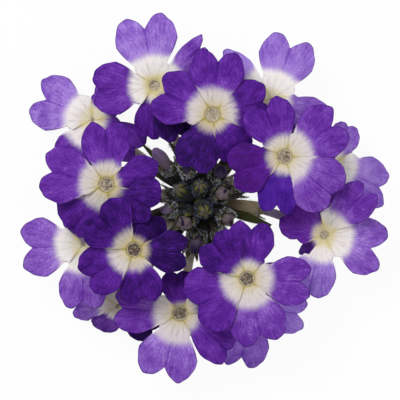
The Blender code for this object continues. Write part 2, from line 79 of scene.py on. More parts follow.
def smooth_step(value: Any, low: float, high: float) -> Any:
    """Rise from 0 at low to 1 at high as 3t^2 - 2t^3, level at both ends."""
    t = np.clip((value - low) / (high - low), 0.0, 1.0)
    return t * t * (3.0 - 2.0 * t)


def unit(vector: Any) -> np.ndarray:
    """Return the vector, or each row of an array of vectors, at length one."""
    vector = np.asarray(vector, float)
    return vector / np.linalg.norm(vector, axis=-1, keepdims=True)


def ring_turns(count: int) -> np.ndarray:
    """Return the angles of evenly spaced corners round a ring, in radians."""
    return 2 * math.pi * np.arange(count) / count


class Hue(Enum):
    """How far a petal's purple leans towards magenta (below zero) or blue (above zero)."""

    MAGENTA = -1.0
    PLAIN = 0.0
    BLUE = 1.0


class Flesh(Enum):
    """What a closed bud shows at its tip."""

    GREEN = "green"
    PINK = "pink"
    LILAC = "lilac"
    PURPLE = "purple"


@dataclass(frozen=True)
class LobeForm:
    """What all lobes have in common: their grid, their outline and their relief.

    The grid has columns across, lip_rows from the throat's lip to the hub, and rows from there to the
    rim, which crowd a little towards it. The crown starts at shoulder, a share of the reach. kept is
    the share of it that the half-tips keep, span how far the notch spreads to each side, bow how much
    the rows bow out and slant their mean length as a share of the longest. ripple, cross, frill,
    groove and curl are heights in mm, groove_width is a share of the half width, and ragged and
    finely_ragged are shares of the distance from the throat. thickness is in mm.
    """

    columns: int = 41
    lip_rows: int = 5
    rows: int = 30
    crowding: float = 0.92
    shoulder: float = 0.6
    kept: float = 0.88
    crown_power: float = 0.8
    span: float = 0.5
    bow: float = 0.1
    slant: float = 0.75
    ripple: float = 0.22
    cross: float = 0.09
    frill: float = 0.14
    groove: float = 0.16
    groove_width: float = 0.1
    curl: float = 0.25
    ragged: float = 0.006
    finely_ragged: float = 0.005
    thickness: float = 0.16


@dataclass(frozen=True)
class LobeJoints:
    """How neighbouring lobes meet, in millimetres and radians.

    Two lobes lap by joint_lap in their fused part, which fades out over joint_end, and by free_lap
    beyond it. Where their heights differ by more than clear_step, they may overlap by clear_turn. One
    edge of a lobe stands shingle over its middle and the other under it, so that they lie over each
    other. root_turn is the most that half a lobe takes up at the hub.
    """

    joint_end: tuple[float, float] = (3.9, 6.0)
    joint_lap: float = 0.035
    free_lap: float = 0.5
    free_start: tuple[float, float] = (4.5, 8.0)
    clear_step: float = 1.1
    clear_turn: float = math.radians(60.0)
    clear_start: tuple[float, float] = (0.34, 0.68)
    root_turn: float = math.radians(33.0)
    shingle: float = 0.13
    shingle_start: tuple[float, float] = (1.3, 3.5)


@dataclass(frozen=True)
class TubeForm:
    """What all tubes have in common, in millimetres.

    A tube stands seat deep in the calyx and has a straight drop under its throat. The rings at its
    end climb to the throat and, from lip on, run over its rim and down into the pit. lump is a share
    of the radius, and wart and wart_rise are how much the warts inside the rim vary and stand out.
    hairs stand hair_depth under the throat.
    """

    radius: float = 0.8
    seat: float = 0.7
    drop: float = 2.4
    rings: int = 18
    corners: int = 40
    end_depths: tuple[float, ...] = (1.9, 1.3, 0.85, 0.5, 0.34, 0.2, 0.15, 0.22, 0.36, 0.42, 0.4,
                                     0.38, 0.36, 0.36)
    end_radii: tuple[float, ...] = (0.92, 1.04, 1.2, 1.34, 1.36, 1.32, 1.22, 1.14, 1.06, 0.9, 0.68,
                                    0.44, 0.2, 0.0)
    lip: int = 5
    lump: float = 0.045
    wart: float = 0.13
    wart_rise: float = 0.05
    hairs: int = 26
    hair_depth: float = 0.42


FORM = LobeForm()
JOINTS = LobeJoints()
TUBE = TubeForm()


@dataclass(frozen=True)
class Lobe:
    """One notched petal lobe, with the sizes of the modelled solid.

    turn is the way it points, reach and notch are measured from the throat, mid and tip are heights
    over the throat's rim halfway out and at the tips, tone is how pale its purple is, and eye is how
    far the white reaches. tone is partly the lobe's own paleness and partly painted backlight: high
    where a lobe lies alone over the light table, low where it lies over others or in shade.
    """

    turn: float
    reach: float
    notch: float
    width: float
    mid: float
    tip: float
    tone: float
    eye: float = 3.0
    cup: float = 0.0
    sweep: float = 0.0
    skew: float = 0.0
    lies: bool = False
    hue: Hue = Hue.PLAIN

    def rim(self, t: np.ndarray) -> tuple[np.ndarray, np.ndarray]:
        """Work out the rim seen from above: an arc with a notch.

        u = shoulder + crown * cos(t pi/2)^0.8 - dip * (1 - |t| / span)^2 and
        v = width / 2 * sin(t pi/2).

        Args:
            t: Place across the lobe, from -1 at the clockwise edge to 1.

        Returns:
            Distances along and across the midline.
        """
        swing = t * math.pi / 2
        shoulder = FORM.shoulder * self.reach
        top = shoulder + (self.reach - shoulder) / FORM.kept
        dip = (top - self.notch) * np.clip(1.0 - np.abs(t) / FORM.span, 0.0, None) ** 2
        crown = (top - shoulder) * np.clip(np.cos(swing), 0.0, None) ** FORM.crown_power
        longer = self.skew / 2 * np.clip(t / FORM.span, -1.0, 1.0)
        return shoulder + crown - dip + longer, self.width / 2 * np.sin(swing)

    def spread(self, t: np.ndarray, s: np.ndarray, base: np.ndarray) -> tuple[np.ndarray, np.ndarray]:
        """Run straight rows from the hub to the rim, bowed out by a tenth at half way.

        Args:
            t: Place across the lobe.
            s: Place along the lobe, from 0 at the hub to 1 at the rim.
            base: Half the angle that the lobe takes up at the hub, in radians.

        Returns:
            Distance from the throat and angle from the midline.
        """
        root_u, root_v = HUB_RADIUS * np.cos(base * t), HUB_RADIUS * np.sin(base * t)
        rim_u, rim_v = self.rim(t)
        u = root_u + (rim_u - root_u) * s
        v = (root_v + (rim_v - root_v) * s) * (1.0 + FORM.bow * np.sin(math.pi * s))
        return np.hypot(u, v), np.arctan2(v, u)

    def height(self, u: np.ndarray, v: np.ndarray, phase: float) -> np.ndarray:
        """Work out the height over the throat's rim: a quadratic arc, cupped edges, waves and a groove.

        z = a s + b s^2 + rise (cup x^2 + ripple sin(3.4 x + phase) + cross sin(7.3 x - 5 s + 2 phase)
        + frill sin(11 x + 3 phase) - groove exp(-(x / 0.1)^2) - curl |x|^3), where s is how far out
        and x how far across the point is.

        Args:
            u: Distance along the midline.
            v: Distance across it.
            phase: Where the ripples start.

        Returns:
            Heights in millimetres.
        """
        far = np.hypot(u, v)
        s = np.clip((far - HUB_RADIUS) / (self.reach - HUB_RADIUS), 0.0, None)
        x = v / (self.width / 2)
        arc = (4 * self.mid - self.tip) * s + (2 * self.tip - 4 * self.mid) * s * s
        wave = FORM.ripple * np.sin(3.4 * x + phase)
        wave = wave + FORM.cross * np.sin(7.3 * x - 5.0 * s + 2.0 * phase)
        frill = FORM.frill * np.sin(11.0 * x + 3.0 * phase) * smooth_step(s, 0.6, 1.0)
        groove = FORM.groove * np.exp(-((x / FORM.groove_width) ** 2)) * smooth_step(s, 0.1, 0.5)
        curl = FORM.curl * np.abs(x) ** 3
        return arc + (self.cup * x**2 + wave + frill - groove - curl) * smooth_step(s, 0.0, 0.7)


@dataclass
class Patchwork:
    """Grids of points that are put together into one mesh, with marks for its finish to read."""

    points: list[np.ndarray] = field(default_factory=list)
    faces: list[np.ndarray] = field(default_factory=list)
    marks: dict[str, list[np.ndarray]] = field(default_factory=dict)
    count: int = 0

    def add(self, grid: np.ndarray, wrap: bool = False, **marks: Any) -> None:
        """Add one grid of rows and columns; faces look to the side of (along rows) x (across).

        Args:
            grid: Points as an array of rows, columns and three numbers.
            wrap: Whether the last column joins the first.
            marks: Named values for each point, as arrays of three numbers or as one number.
        """
        rows, columns = grid.shape[:2]
        index = self.count + np.arange(rows * columns).reshape(rows, columns)
        if wrap:
            index = np.concatenate((index, index[:, :1]), axis=1)
        quads = np.stack((index[:-1, :-1], index[1:, :-1], index[1:, 1:], index[:-1, 1:]), axis=-1)
        self.faces.append(quads.reshape(-1, 4))
        self.points.append(grid.reshape(-1, 3))
        for name, value in marks.items():
            full = np.broadcast_to(np.asarray(value, float), (rows, columns, 3))
            self.marks.setdefault(name, []).append(full.reshape(-1, 3))
        self.count += rows * columns

    def build(self, name: str, finish: bpy.types.Material, weld: bool = False) -> bpy.types.Object:
        """Make the mesh object, smooth shaded, with every mark as a point attribute.

        Args:
            name: The piece's name.
            finish: Its material.
            weld: Whether points in the same place are merged, which closes poles.

        Returns:
            The new object, at the origin.
        """
        points = np.concatenate(self.points) * MM
        faces = np.concatenate(self.faces)
        mesh = bpy.data.meshes.new(name)
        mesh.from_pydata(points, [], faces.tolist())
        for mark, parts in self.marks.items():
            layer = mesh.attributes.new(mark, "FLOAT_VECTOR", "POINT")
            layer.data.foreach_set("vector", np.concatenate(parts).astype(np.float32).ravel())
        if weld:
            form = bmesh.new()
            form.from_mesh(mesh)
            bmesh.ops.remove_doubles(form, verts=form.verts[:], dist=WELD)
            form.to_mesh(mesh)
            form.free()
        mesh.shade_smooth()
        mesh.materials.append(finish)
        obj = bpy.data.objects.new(name, mesh)
        bpy.context.scene.collection.objects.link(obj)
        return obj


def sweep(centres: np.ndarray, ways: np.ndarray, radii: np.ndarray, lifts: Any = 0.0) -> np.ndarray:
    """Carry a ring of points along a path: centre + r cos(a) side + r sin(a) other + lift way.

    Args:
        centres: The path's points, one for each ring.
        ways: The path's direction at each ring.
        radii: Radius at each ring and corner, as an array of rings and corners.
        lifts: How far each corner is moved along the way.

    Returns:
        A grid of rings and corners, which faces outwards when its rings are taken in turn backwards.
    """
    ways = unit(ways)
    lean = ways.mean(axis=0)
    side = np.cross((0.0, 0.0, 1.0), lean)
    if np.linalg.norm(side) < 1e-3:
        side = np.array((1.0, 0.0, 0.0))
    sides = unit(side - ways * (ways @ side)[:, None])
    others = np.cross(ways, sides)
    turn = ring_turns(radii.shape[1])
    grid = centres[:, None, :] + (radii * np.cos(turn))[..., None] * sides[:, None, :]
    grid = grid + (radii * np.sin(turn))[..., None] * others[:, None, :]
    return grid + np.broadcast_to(lifts, radii.shape)[..., None] * ways[:, None, :]


def curve(start: Any, start_way: Any, end: Any, end_way: Any,
          t: np.ndarray) -> tuple[np.ndarray, np.ndarray]:
    """Points and directions on the cubic that leaves along one way and arrives along another.

    p(t) = (2t^3-3t^2+1) start + (t^3-2t^2+t) a + (3t^2-2t^3) end + (t^3-t^2) b, with a and b the two
    ways at the length of the chord.

    Args:
        start: First point.
        start_way: Unit direction there.
        end: Last point.
        end_way: Unit direction there.
        t: Places along the curve, from 0 to 1.

    Returns:
        The points and the directions, one row for each place.
    """
    start, end = np.asarray(start, float), np.asarray(end, float)
    pull = np.linalg.norm(end - start)
    a, b = np.asarray(start_way) * pull, np.asarray(end_way) * pull
    t = t[:, None]
    points = (2 * t**3 - 3 * t**2 + 1) * start + (t**3 - 2 * t**2 + t) * a
    points = points + (3 * t**2 - 2 * t**3) * end + (t**3 - t**2) * b
    ways = (6 * t**2 - 6 * t) * start + (3 * t**2 - 4 * t + 1) * a
    ways = ways + (6 * t - 6 * t**2) * end + (3 * t**2 - 2 * t) * b
    return points, unit(ways)


class Value:
    """One number socket of a shader, so that shader maths reads as an expression."""

    def __init__(self, shader: "Shader", socket: bpy.types.NodeSocket) -> None:
        """Keep the shader that the maths is added to and the socket that holds the number."""
        self.shader = shader
        self.socket = socket

    def _math(self, operation: str, *inputs: Any) -> "Value":
        """Add one Math node over the given numbers or values."""
        made = self.shader.node("ShaderNodeMath", {"operation": operation}, *inputs)
        return Value(self.shader, made.outputs[0])

    def __add__(self, other: Any) -> "Value":
        """Return self + other."""
        return self._math("ADD", self, other)

    __radd__ = __add__

    def __sub__(self, other: Any) -> "Value":
        """Return self - other."""
        return self._math("SUBTRACT", self, other)

    def __rsub__(self, other: Any) -> "Value":
        """Return other - self."""
        return self._math("SUBTRACT", other, self)

    def __mul__(self, other: Any) -> "Value":
        """Return self * other."""
        return self._math("MULTIPLY", self, other)

    __rmul__ = __mul__

    def __pow__(self, other: Any) -> "Value":
        """Return self raised to other."""
        return self._math("POWER", self, other)

    def __abs__(self) -> "Value":
        """Return the size of self without its sign."""
        return self._math("ABSOLUTE", self)

    def sine(self) -> "Value":
        """Return the sine of self, in radians."""
        return self._math("SINE", self)

    def rise(self, low: float, high: float) -> "Value":
        """Rise smoothly from 0 at low to 1 at high.

        Args:
            low: Where the rise starts.
            high: Where the rise ends.

        Returns:
            The risen value.
        """
        settings = {"interpolation_type": "SMOOTHSTEP"}
        made = self.shader.node("ShaderNodeMapRange", settings, self, low, high, 0.0, 1.0)
        return Value(self.shader, made.outputs[0])


class Shader:
    """A material's node tree, with one method that adds any node."""

    def __init__(self, name: str) -> None:
        """Start an empty node tree in a new material.

        Args:
            name: The material's name.
        """
        self.material = bpy.data.materials.new(name)
        self.material.use_nodes = True
        self.tree = self.material.node_tree
        self.tree.nodes.clear()

    def node(self, kind: str, settings: dict[str, Any], *inputs: Any, **named: Any) -> bpy.types.Node:
        """Add a node, set it up and fill its sockets.

        Args:
            kind: The node's type.
            settings: Its own settings, set before its sockets; "stops" are a ramp's stops.
            inputs: Values or links for its sockets, in order; None leaves one as it is.
            named: Values or links for sockets by name, with _ for a space.

        Returns:
            The new node.
        """
        made = self.tree.nodes.new(kind)
        for key, value in settings.items():
            if key == "stops":
                for extra in value[2:]:
                    made.color_ramp.elements.new(extra[0])
                for element, (place, colour) in zip(made.color_ramp.elements, value):
                    element.position, element.color = place, (*colour, 1.0)
            else:
                setattr(made, key, value)
        sockets = [s for s in made.inputs if s.enabled]
        pairs = list(zip(sockets, inputs))
        pairs += [(made.inputs[key.replace("_", " ")], value) for key, value in named.items()]
        for socket, value in pairs:
            if isinstance(value, Value):
                value = value.socket
            if isinstance(value, bpy.types.NodeSocket):
                self.tree.links.new(value, socket)
            elif value is not None:
                colour = socket.type == "RGBA" and len(value) == 3
                socket.default_value = (*value, 1.0) if colour else value
        return made

    def mark(self, name: str) -> tuple[bpy.types.NodeSocket, list[Value]]:
        """Read a mark of the mesh.

        Args:
            name: The mark's name.

        Returns:
            The mark as a vector, and its three numbers.
        """
        vector = self.node("ShaderNodeAttribute", {"attribute_name": name}).outputs["Vector"]
        parts = self.node("ShaderNodeSeparateXYZ", {}, vector).outputs
        return vector, [Value(self, part) for part in parts]

    def place(self) -> bpy.types.NodeSocket:
        """Read the place on the object, in metres."""
        return self.node("ShaderNodeTexCoord", {}).outputs["Object"]

    def noise(self, vector: Any, scale: float, detail: float = 2.0) -> Value:
        """Read noise of about 0.5, with scale clouds to a unit of length and detail finer octaves."""
        made = self.node("ShaderNodeTexNoise", {}, Vector=vector, Scale=scale, Detail=detail)
        return Value(self, made.outputs[0])

    def stretch(self, vector: Any, scale: tuple[float, float, float]) -> bpy.types.NodeSocket:
        """Scale a vector on each axis."""
        made = self.node("ShaderNodeVectorMath", {"operation": "MULTIPLY"}, vector, scale)
        return made.outputs[0]

    def mix(self, amount: Any, first: Any, second: Any) -> bpy.types.NodeSocket:
        """Mix two colours.

        Args:
            amount: Where the second colour shows, from 0 to 1.
            first: Colour where amount is 0, or its socket.
            second: Colour where amount is 1, or its socket.

        Returns:
            The mixed colour.
        """
        made = self.node("ShaderNodeMix", {"data_type": "RGBA", "clamp_factor": True})
        for key, value in (("Factor_Float", amount), ("A_Color", first), ("B_Color", second)):
            socket = next(s for s in made.inputs if s.identifier == key)
            value = value.socket if isinstance(value, Value) else value
            if isinstance(value, bpy.types.NodeSocket):
                self.tree.links.new(value, socket)
            else:
                socket.default_value = value if isinstance(value, float) else (*value, 1.0)
        return next(s for s in made.outputs if s.identifier == "Result_Color")

    def ramp(self, amount: Value, stops: list[tuple[float, tuple]]) -> bpy.types.NodeSocket:
        """Turn a value into a colour by stops of place and colour."""
        return self.node("ShaderNodeValToRGB", {"stops": stops}, amount).outputs[0]

    def bump(self, height: Value, distance: float, strength: float) -> bpy.types.NodeSocket:
        """Bend the normal by a height from 0 to about 1, where 1 stands distance metres high."""
        made = self.node("ShaderNodeBump", {}, Height=height, Distance=distance, Strength=strength)
        return made.outputs[0]

    def surface(self, colour: Any, roughness: Any, normal: Any = None, glow: tuple | None = None,
                through: Any = 0.0, **constants: Any) -> bpy.types.Material:
        """Finish the material.

        Args:
            colour: Base colour, or its socket.
            roughness: Roughness, or its value.
            normal: Bent normal, or None for the plain one.
            glow: Colour of the light that comes through, or None where none does.
            through: Share of the light that comes through.
            constants: Other sockets of the shader, the same all over.

        Returns:
            The material.
        """
        plain = self.node("ShaderNodeBsdfPrincipled", {}, Base_Color=colour, Roughness=roughness,
                          Normal=normal, **constants)
        last = plain.outputs[0]
        if glow is not None:
            thin = self.node("ShaderNodeBsdfTranslucent", {}, glow)
            last = self.node("ShaderNodeMixShader", {}, through, last, thin.outputs[0]).outputs[0]
        self.node("ShaderNodeOutputMaterial", {}, last)
        return self.material


def srgb(red: int, green: int, blue: int) -> Colour:
    """Turn a screen colour into linear light: ((c + 0.055) / 1.055)^2.4 above 0.04, else c / 12.92.

    Args:
        red: Red, from 0 to 255.
        green: Green, from 0 to 255.
        blue: Blue, from 0 to 255.

    Returns:
        The three linear parts, from 0 to 1.
    """
    c = np.array((red, green, blue)) / 255
    linear = np.where(c > 0.04045, ((c + 0.055) / 1.055) ** 2.4, c / 12.92)
    return tuple(float(x) for x in linear)


PURPLES = [
    (0.0, srgb(30, 4, 64)), (0.2, srgb(55, 14, 102)), (0.4, srgb(81, 29, 135)),
    (0.6, srgb(107, 54, 160)), (0.8, srgb(146, 103, 195)), (1.0, srgb(194, 162, 230)),
]


@dataclass(frozen=True)
class PetalFinish:
    """Thin velvety petal: a cream eye with yellow at the throat, then streaky purple.

    fuzz is half the width in mm over which the white runs into the purple. The streaks are noise
    over the direction from the throat (first two numbers) and the distance in mm (last number); grain
    and cloud are noise over the place in metres. relief is the height in metres of the bumps.
    """

    fuzz: float = 0.85
    through: float = 0.55
    streaks: Point = (30.0, 30.0, 0.45)
    fine_streaks: Point = (75.0, 75.0, 0.8)
    broad_streaks: Point = (7.0, 7.0, 0.4)
    grain: float = 3400.0
    cloud: float = 430.0
    relief: float = 0.00016

    def material(self) -> bpy.types.Material:
        """Make the petal material.

        Returns:
            The material.
        """
        s = PetalShader(self)
        purple = s.past_eye().rise(-self.fuzz, self.fuzz)
        colour = s.mix(purple, s.eye(), s.skin())
        relief = s.streak * 0.5 + s.grain * 0.35 + s.broad * 0.5 + s.cloud * 0.5
        relief = relief - s.crease * 0.5 - s.vein * 0.2 - s.ridge * 0.15
        through = self.through * (0.1 + (s.tone * s.tone - 0.1) * purple)
        return s.surface(colour, 0.6 - purple * 0.06, s.bump(relief, self.relief, 0.6),
                         glow=srgb(156, 104, 220), through=through, Specular_IOR_Level=0.06)


class PetalShader(Shader):
    """The petal's node tree, with the values that its colours are worked out from.

    The marks read are ray (cos and sin of the angle, distance in mm), place (across, how white the
    eye is with some painted light, distance to the edge in mm) and tone (paleness with painted
    backlight, hue, reach of the white in mm).
    """

    def __init__(self, finish: PetalFinish) -> None:
        """Read the marks and the noise.

        Args:
            finish: The petal's finish, with the sizes of the noise.
        """
        super().__init__("petal")
        ray, (_, _, self.far) = self.mark("ray")
        _, (self.across, self.eye_white_and_painted_light, self.edge) = self.mark("place")
        _, (self.tone, self.hue, self.eye_reach) = self.mark("tone")
        self.streak = self.noise(self.stretch(ray, finish.streaks), 1.0, 4.0)
        self.fine = self.noise(self.stretch(ray, finish.fine_streaks), 1.0, 3.0)
        self.broad = self.noise(self.stretch(ray, finish.broad_streaks), 1.0, 2.0)
        self.grain = self.noise(self.place(), finish.grain, 2.0)
        self.cloud = self.noise(self.place(), finish.cloud, 3.0)
        self.ridge = 1.0 - abs(self.fine - 0.5).rise(0.0, 0.045)
        # The midline crease: a groove in the relief and painted shade in the purple.
        self.crease = (1.0 - abs(self.across).rise(0.0, 0.05)) * self.far.rise(4.0, 7.0)
        self.corner = abs(self.across) ** 5.0
        vein = (abs((self.across * 8.0 + (self.broad - 0.5) * 4.0).sine())) ** 18.0
        vein = vein * self.streak.rise(0.35, 0.6) * self.far.rise(1.5, 2.0)
        self.vein = vein * (1.0 - self.far.rise(3.6, 5.4))

    def past_eye(self) -> Value:
        """Work out how far a point lies past the eye's torn edge, in mm.

        Returns:
            The distance, below zero inside the eye.
        """
        # Painted highlight: the white reaches further out along the lobe's edges.
        edge_highlight = (1.0 - self.edge.rise(0.0, 0.4)) * 0.6
        past = self.far - self.eye_reach + (self.streak - 0.5) * 0.8 + (self.fine - 0.5) * 1.3
        return past + (self.grain - 0.5) * 0.5 + (self.broad - 0.5) * 0.9 - edge_highlight

    def skin(self) -> bpy.types.NodeSocket:
        """Work out the purple: paler away from the eye, streaked, and darker in fine veins.

        Painted shade darkens it along the edges beyond the eye and in the midline crease.

        Returns:
            The colour.
        """
        past = self.far - self.eye_reach
        rough = (self.streak - 0.5) * 0.5 + (self.fine - 0.5) * 0.42 + (self.broad - 0.5) * 0.3
        rough = rough + (self.grain - 0.5) * 0.5 + (self.cloud - 0.5) * 0.62
        shade = self.tone + rough * (1.0 - self.tone * 0.5) + (1.0 - past.rise(0.0, 4.0)) * 0.1
        # Painted shade in the midline crease; the veins are the petal's own.
        skin = self.ramp(shade - self.crease * 0.12 - self.ridge * 0.09, PURPLES)
        skin = self.mix(self.hue.rise(0.0, 1.0) * 0.3, skin, srgb(52, 24, 150))
        skin = self.mix((0.0 - self.hue).rise(0.0, 1.0) * 0.25, skin, srgb(96, 22, 142))
        # Painted shade: a dark line along the edges beyond the eye, for the shade where lobes overlap.
        edge_shade = (1.0 - self.edge.rise(0.05, 0.2)) * past.rise(0.5, 2.0)
        return self.mix(edge_shade * 0.6, skin, srgb(58, 22, 104))

    def eye(self) -> bpy.types.NodeSocket:
        """Work out the white, with cream, yellow and green by the throat and fine dark veins.

        Painted shade greys it on florets with dark lobes, and milk whitens it, partly as painted light.

        Returns:
            The colour.
        """
        far, corner, streak = self.far, self.corner, self.streak
        # Painted shade: the eye is greyer on florets with dark lobes, which lie in shade.
        eye = self.mix(self.tone.rise(0.05, 0.35), srgb(168, 156, 150), srgb(200, 192, 188))
        eye = self.mix(self.tone.rise(0.5, 0.9) * 0.7, eye, srgb(204, 195, 200))
        eye = self.mix(far.rise(3.2, 5.5) * 0.5, eye, srgb(188, 174, 200))
        eye = self.mix((self.grain - 0.35) * 0.45, eye, srgb(158, 146, 142))
        cream = 1.0 - (far - corner * 0.8 - streak * 1.6).rise(0.7, 2.6)
        eye = self.mix(cream * 0.6, eye, srgb(190, 174, 122))
        yellow = 1.0 - (far - corner * 0.9 - streak * 0.9).rise(0.8, 1.6)
        eye = self.mix(yellow * 0.6, eye, srgb(166, 150, 78))
        green = corner * (1.0 - (far - streak * 0.5).rise(1.4, 2.4))
        eye = self.mix(green * 0.9, eye, srgb(150, 136, 36))
        rim = 1.0 - (far + streak * 0.3).rise(1.4, 1.75)
        eye = self.mix(rim * 0.85, eye, srgb(88, 76, 36))
        lines = self.vein * 0.38 + self.ridge * far.rise(1.6, 3.0) * 0.16
        eye = self.mix(lines, eye, srgb(104, 92, 74))
        # Partly painted light: a high milk lifts an eye lying in shade towards white.
        eye = self.mix(self.eye_white_and_painted_light * 0.6, eye, srgb(240, 235, 230))
        white = self.eye_white_and_painted_light.rise(0.5, 1.0)
        butter = 1.0 - (far - corner * 1.2 - streak * 1.8).rise(0.2, 1.9)
        eye = self.mix(butter * white * 0.7, eye, srgb(200, 184, 96))
        return self.mix(self.vein * white * 0.22, eye, srgb(120, 108, 84))


@dataclass(frozen=True)
class TubeFinish:
    """Pale corolla tube: cream by the calyx, lilac towards the throat on some, painted brown shade in the
    pit.
    """

    spots: float = 900.0
    grit: float = 2600.0
    relief: float = 0.0001

    def material(self) -> bpy.types.Material:
        """Make the tube material; mark tube is (along, how lilac, depth in the pit).

        Returns:
            The material.
        """
        s = Shader("tube")
        _, (along, lilac, pit) = s.mark("tube")
        spots = s.noise(s.place(), self.spots, 3.0)
        grit = s.noise(s.place(), self.grit, 3.0)
        skin = s.mix((lilac * (along + 0.5) + (spots - 0.5) * 0.3).rise(0.1, 0.9), srgb(190, 184, 166),
                     srgb(104, 80, 134))
        skin = s.mix((spots - 0.35) * 0.5, skin, srgb(150, 150, 120))
        skin = s.mix(along.rise(0.97, 1.0), skin, srgb(208, 200, 168))
        inner = s.mix((grit - 0.5) * 3.5 + 0.4, srgb(212, 200, 174), srgb(158, 142, 118))
        # Painted shade: the pit darkens with depth, and dark flecks stand for the shade among its hairs.
        inner = s.mix((pit - 1.0) * 0.85, inner, srgb(60, 46, 38))
        pit_shade_fleck = (spots + grit * 0.5 + (pit - 1.0) * 0.2).rise(0.78, 1.0)
        inner = s.mix(pit_shade_fleck * 0.8, inner, srgb(78, 60, 48))
        inner = s.mix(pit.rise(0.2, 0.5) * (1.0 - pit.rise(0.6, 0.95)) * 0.8, inner, srgb(124, 112, 64))
        colour = s.mix(pit.rise(0.2, 0.6), skin, inner)
        return s.surface(colour, 0.6, s.bump(spots, self.relief, 0.4), glow=srgb(214, 204, 190),
                         through=0.22, Specular_IOR_Level=0.3)


@dataclass(frozen=True)
class GreenFinish:
    """Dull hairy green of calyces, bracts and stalk, yellower at the mouths and on the backs, with
    painted shade that darkens the calyces to near-black at their roots and deep inside the cups.
    """

    name: str
    dark: Colour
    light: Colour
    warm: Colour
    blotch: float = 700.0
    grain: float = 3200.0
    relief: float = 0.0002

    def material(self) -> bpy.types.Material:
        """Make the green material; the first two numbers of mark leaf are how light and how warm.

        Returns:
            The material.
        """
        s = Shader(self.name)
        _, (light, warm, _) = s.mark("leaf")
        blotch = s.noise(s.place(), self.blotch, 3.0)
        grain = s.noise(s.place(), self.grain, 2.0)
        colour = s.mix(light * (blotch * 1.4 + 0.3) + (grain - 0.5) * 0.16, self.dark, self.light)
        colour = s.mix(warm * (blotch + 0.5), colour, self.warm)
        relief = blotch * 0.6 + grain * 0.6
        return s.surface(colour, 0.75 - grain * 0.2, s.bump(relief, self.relief, 0.7),
                         glow=srgb(96, 100, 40), through=0.03, Specular_IOR_Level=0.12)


@dataclass(frozen=True)
class BudFinish:
    """Folded petals at the tip of a closed bud, with specks, darker folds that are partly the
    petals' own purple and partly painted shade, and a dark slit of painted shade.
    """

    name: str
    base: Colour
    fold: Colour
    tip: Colour
    speck: float = 1500.0
    relief: float = 0.00015

    def material(self) -> bpy.types.Material:
        """Make the bud material; mark bud is (fold depth, along, how near the open slit).

        Returns:
            The material.
        """
        s = Shader(self.name)
        _, (fold, along, slit) = s.mark("bud")
        speck = s.noise(s.place(), self.speck, 3.0)
        colour = s.mix((along + (speck - 0.5) * 0.6).rise(0.3, 0.95), self.base, self.tip)
        # Partly painted shade: the folds darken, in the petals' own purple on pink and lilac buds.
        colour = s.mix((fold + (speck - 0.5) * 0.9).rise(0.45, 0.9), colour, self.fold)
        # Painted shade: a dark spiral slit for an opening that the closed mesh does not have.
        colour = s.mix((slit + (speck - 0.5) * 0.5).rise(0.3, 0.7), colour, srgb(18, 6, 36))
        return s.surface(colour, 0.62, s.bump(speck, self.relief, 0.5), glow=srgb(150, 120, 150),
                         through=0.06, Specular_IOR_Level=0.2)


@dataclass(frozen=True)
class HairFinish:
    """Fine pale hairs; on the calyces one copy is painted shaded blue-grey and one painted lit white."""

    name: str
    colour: Colour
    patch: float = 500.0
    dimmed: float = 0.45

    def material(self) -> bpy.types.Material:
        """Make the hair material, a little darker here and there.

        Returns:
            The material.
        """
        s = Shader(self.name)
        patch = s.noise(s.place(), self.patch, 1.0)
        dark = tuple(self.dimmed * part for part in self.colour)
        colour = s.mix(patch.rise(0.4, 0.65) * 0.6, self.colour, dark)
        return s.surface(colour, 0.45, Specular_IOR_Level=0.4)


@dataclass(frozen=True)
class TableFinish:
    """The pale light table that the head lies on."""

    def material(self) -> bpy.types.Material:
        """Make the table material: white, lit from below.

        Returns:
            The material.
        """
        s = Shader("light_table")
        return s.surface((0.05, 0.05, 0.05), 0.9, Specular_IOR_Level=0.0,
                         Emission_Color=(0.975, 0.975, 0.98, 1.0), Emission_Strength=0.955)


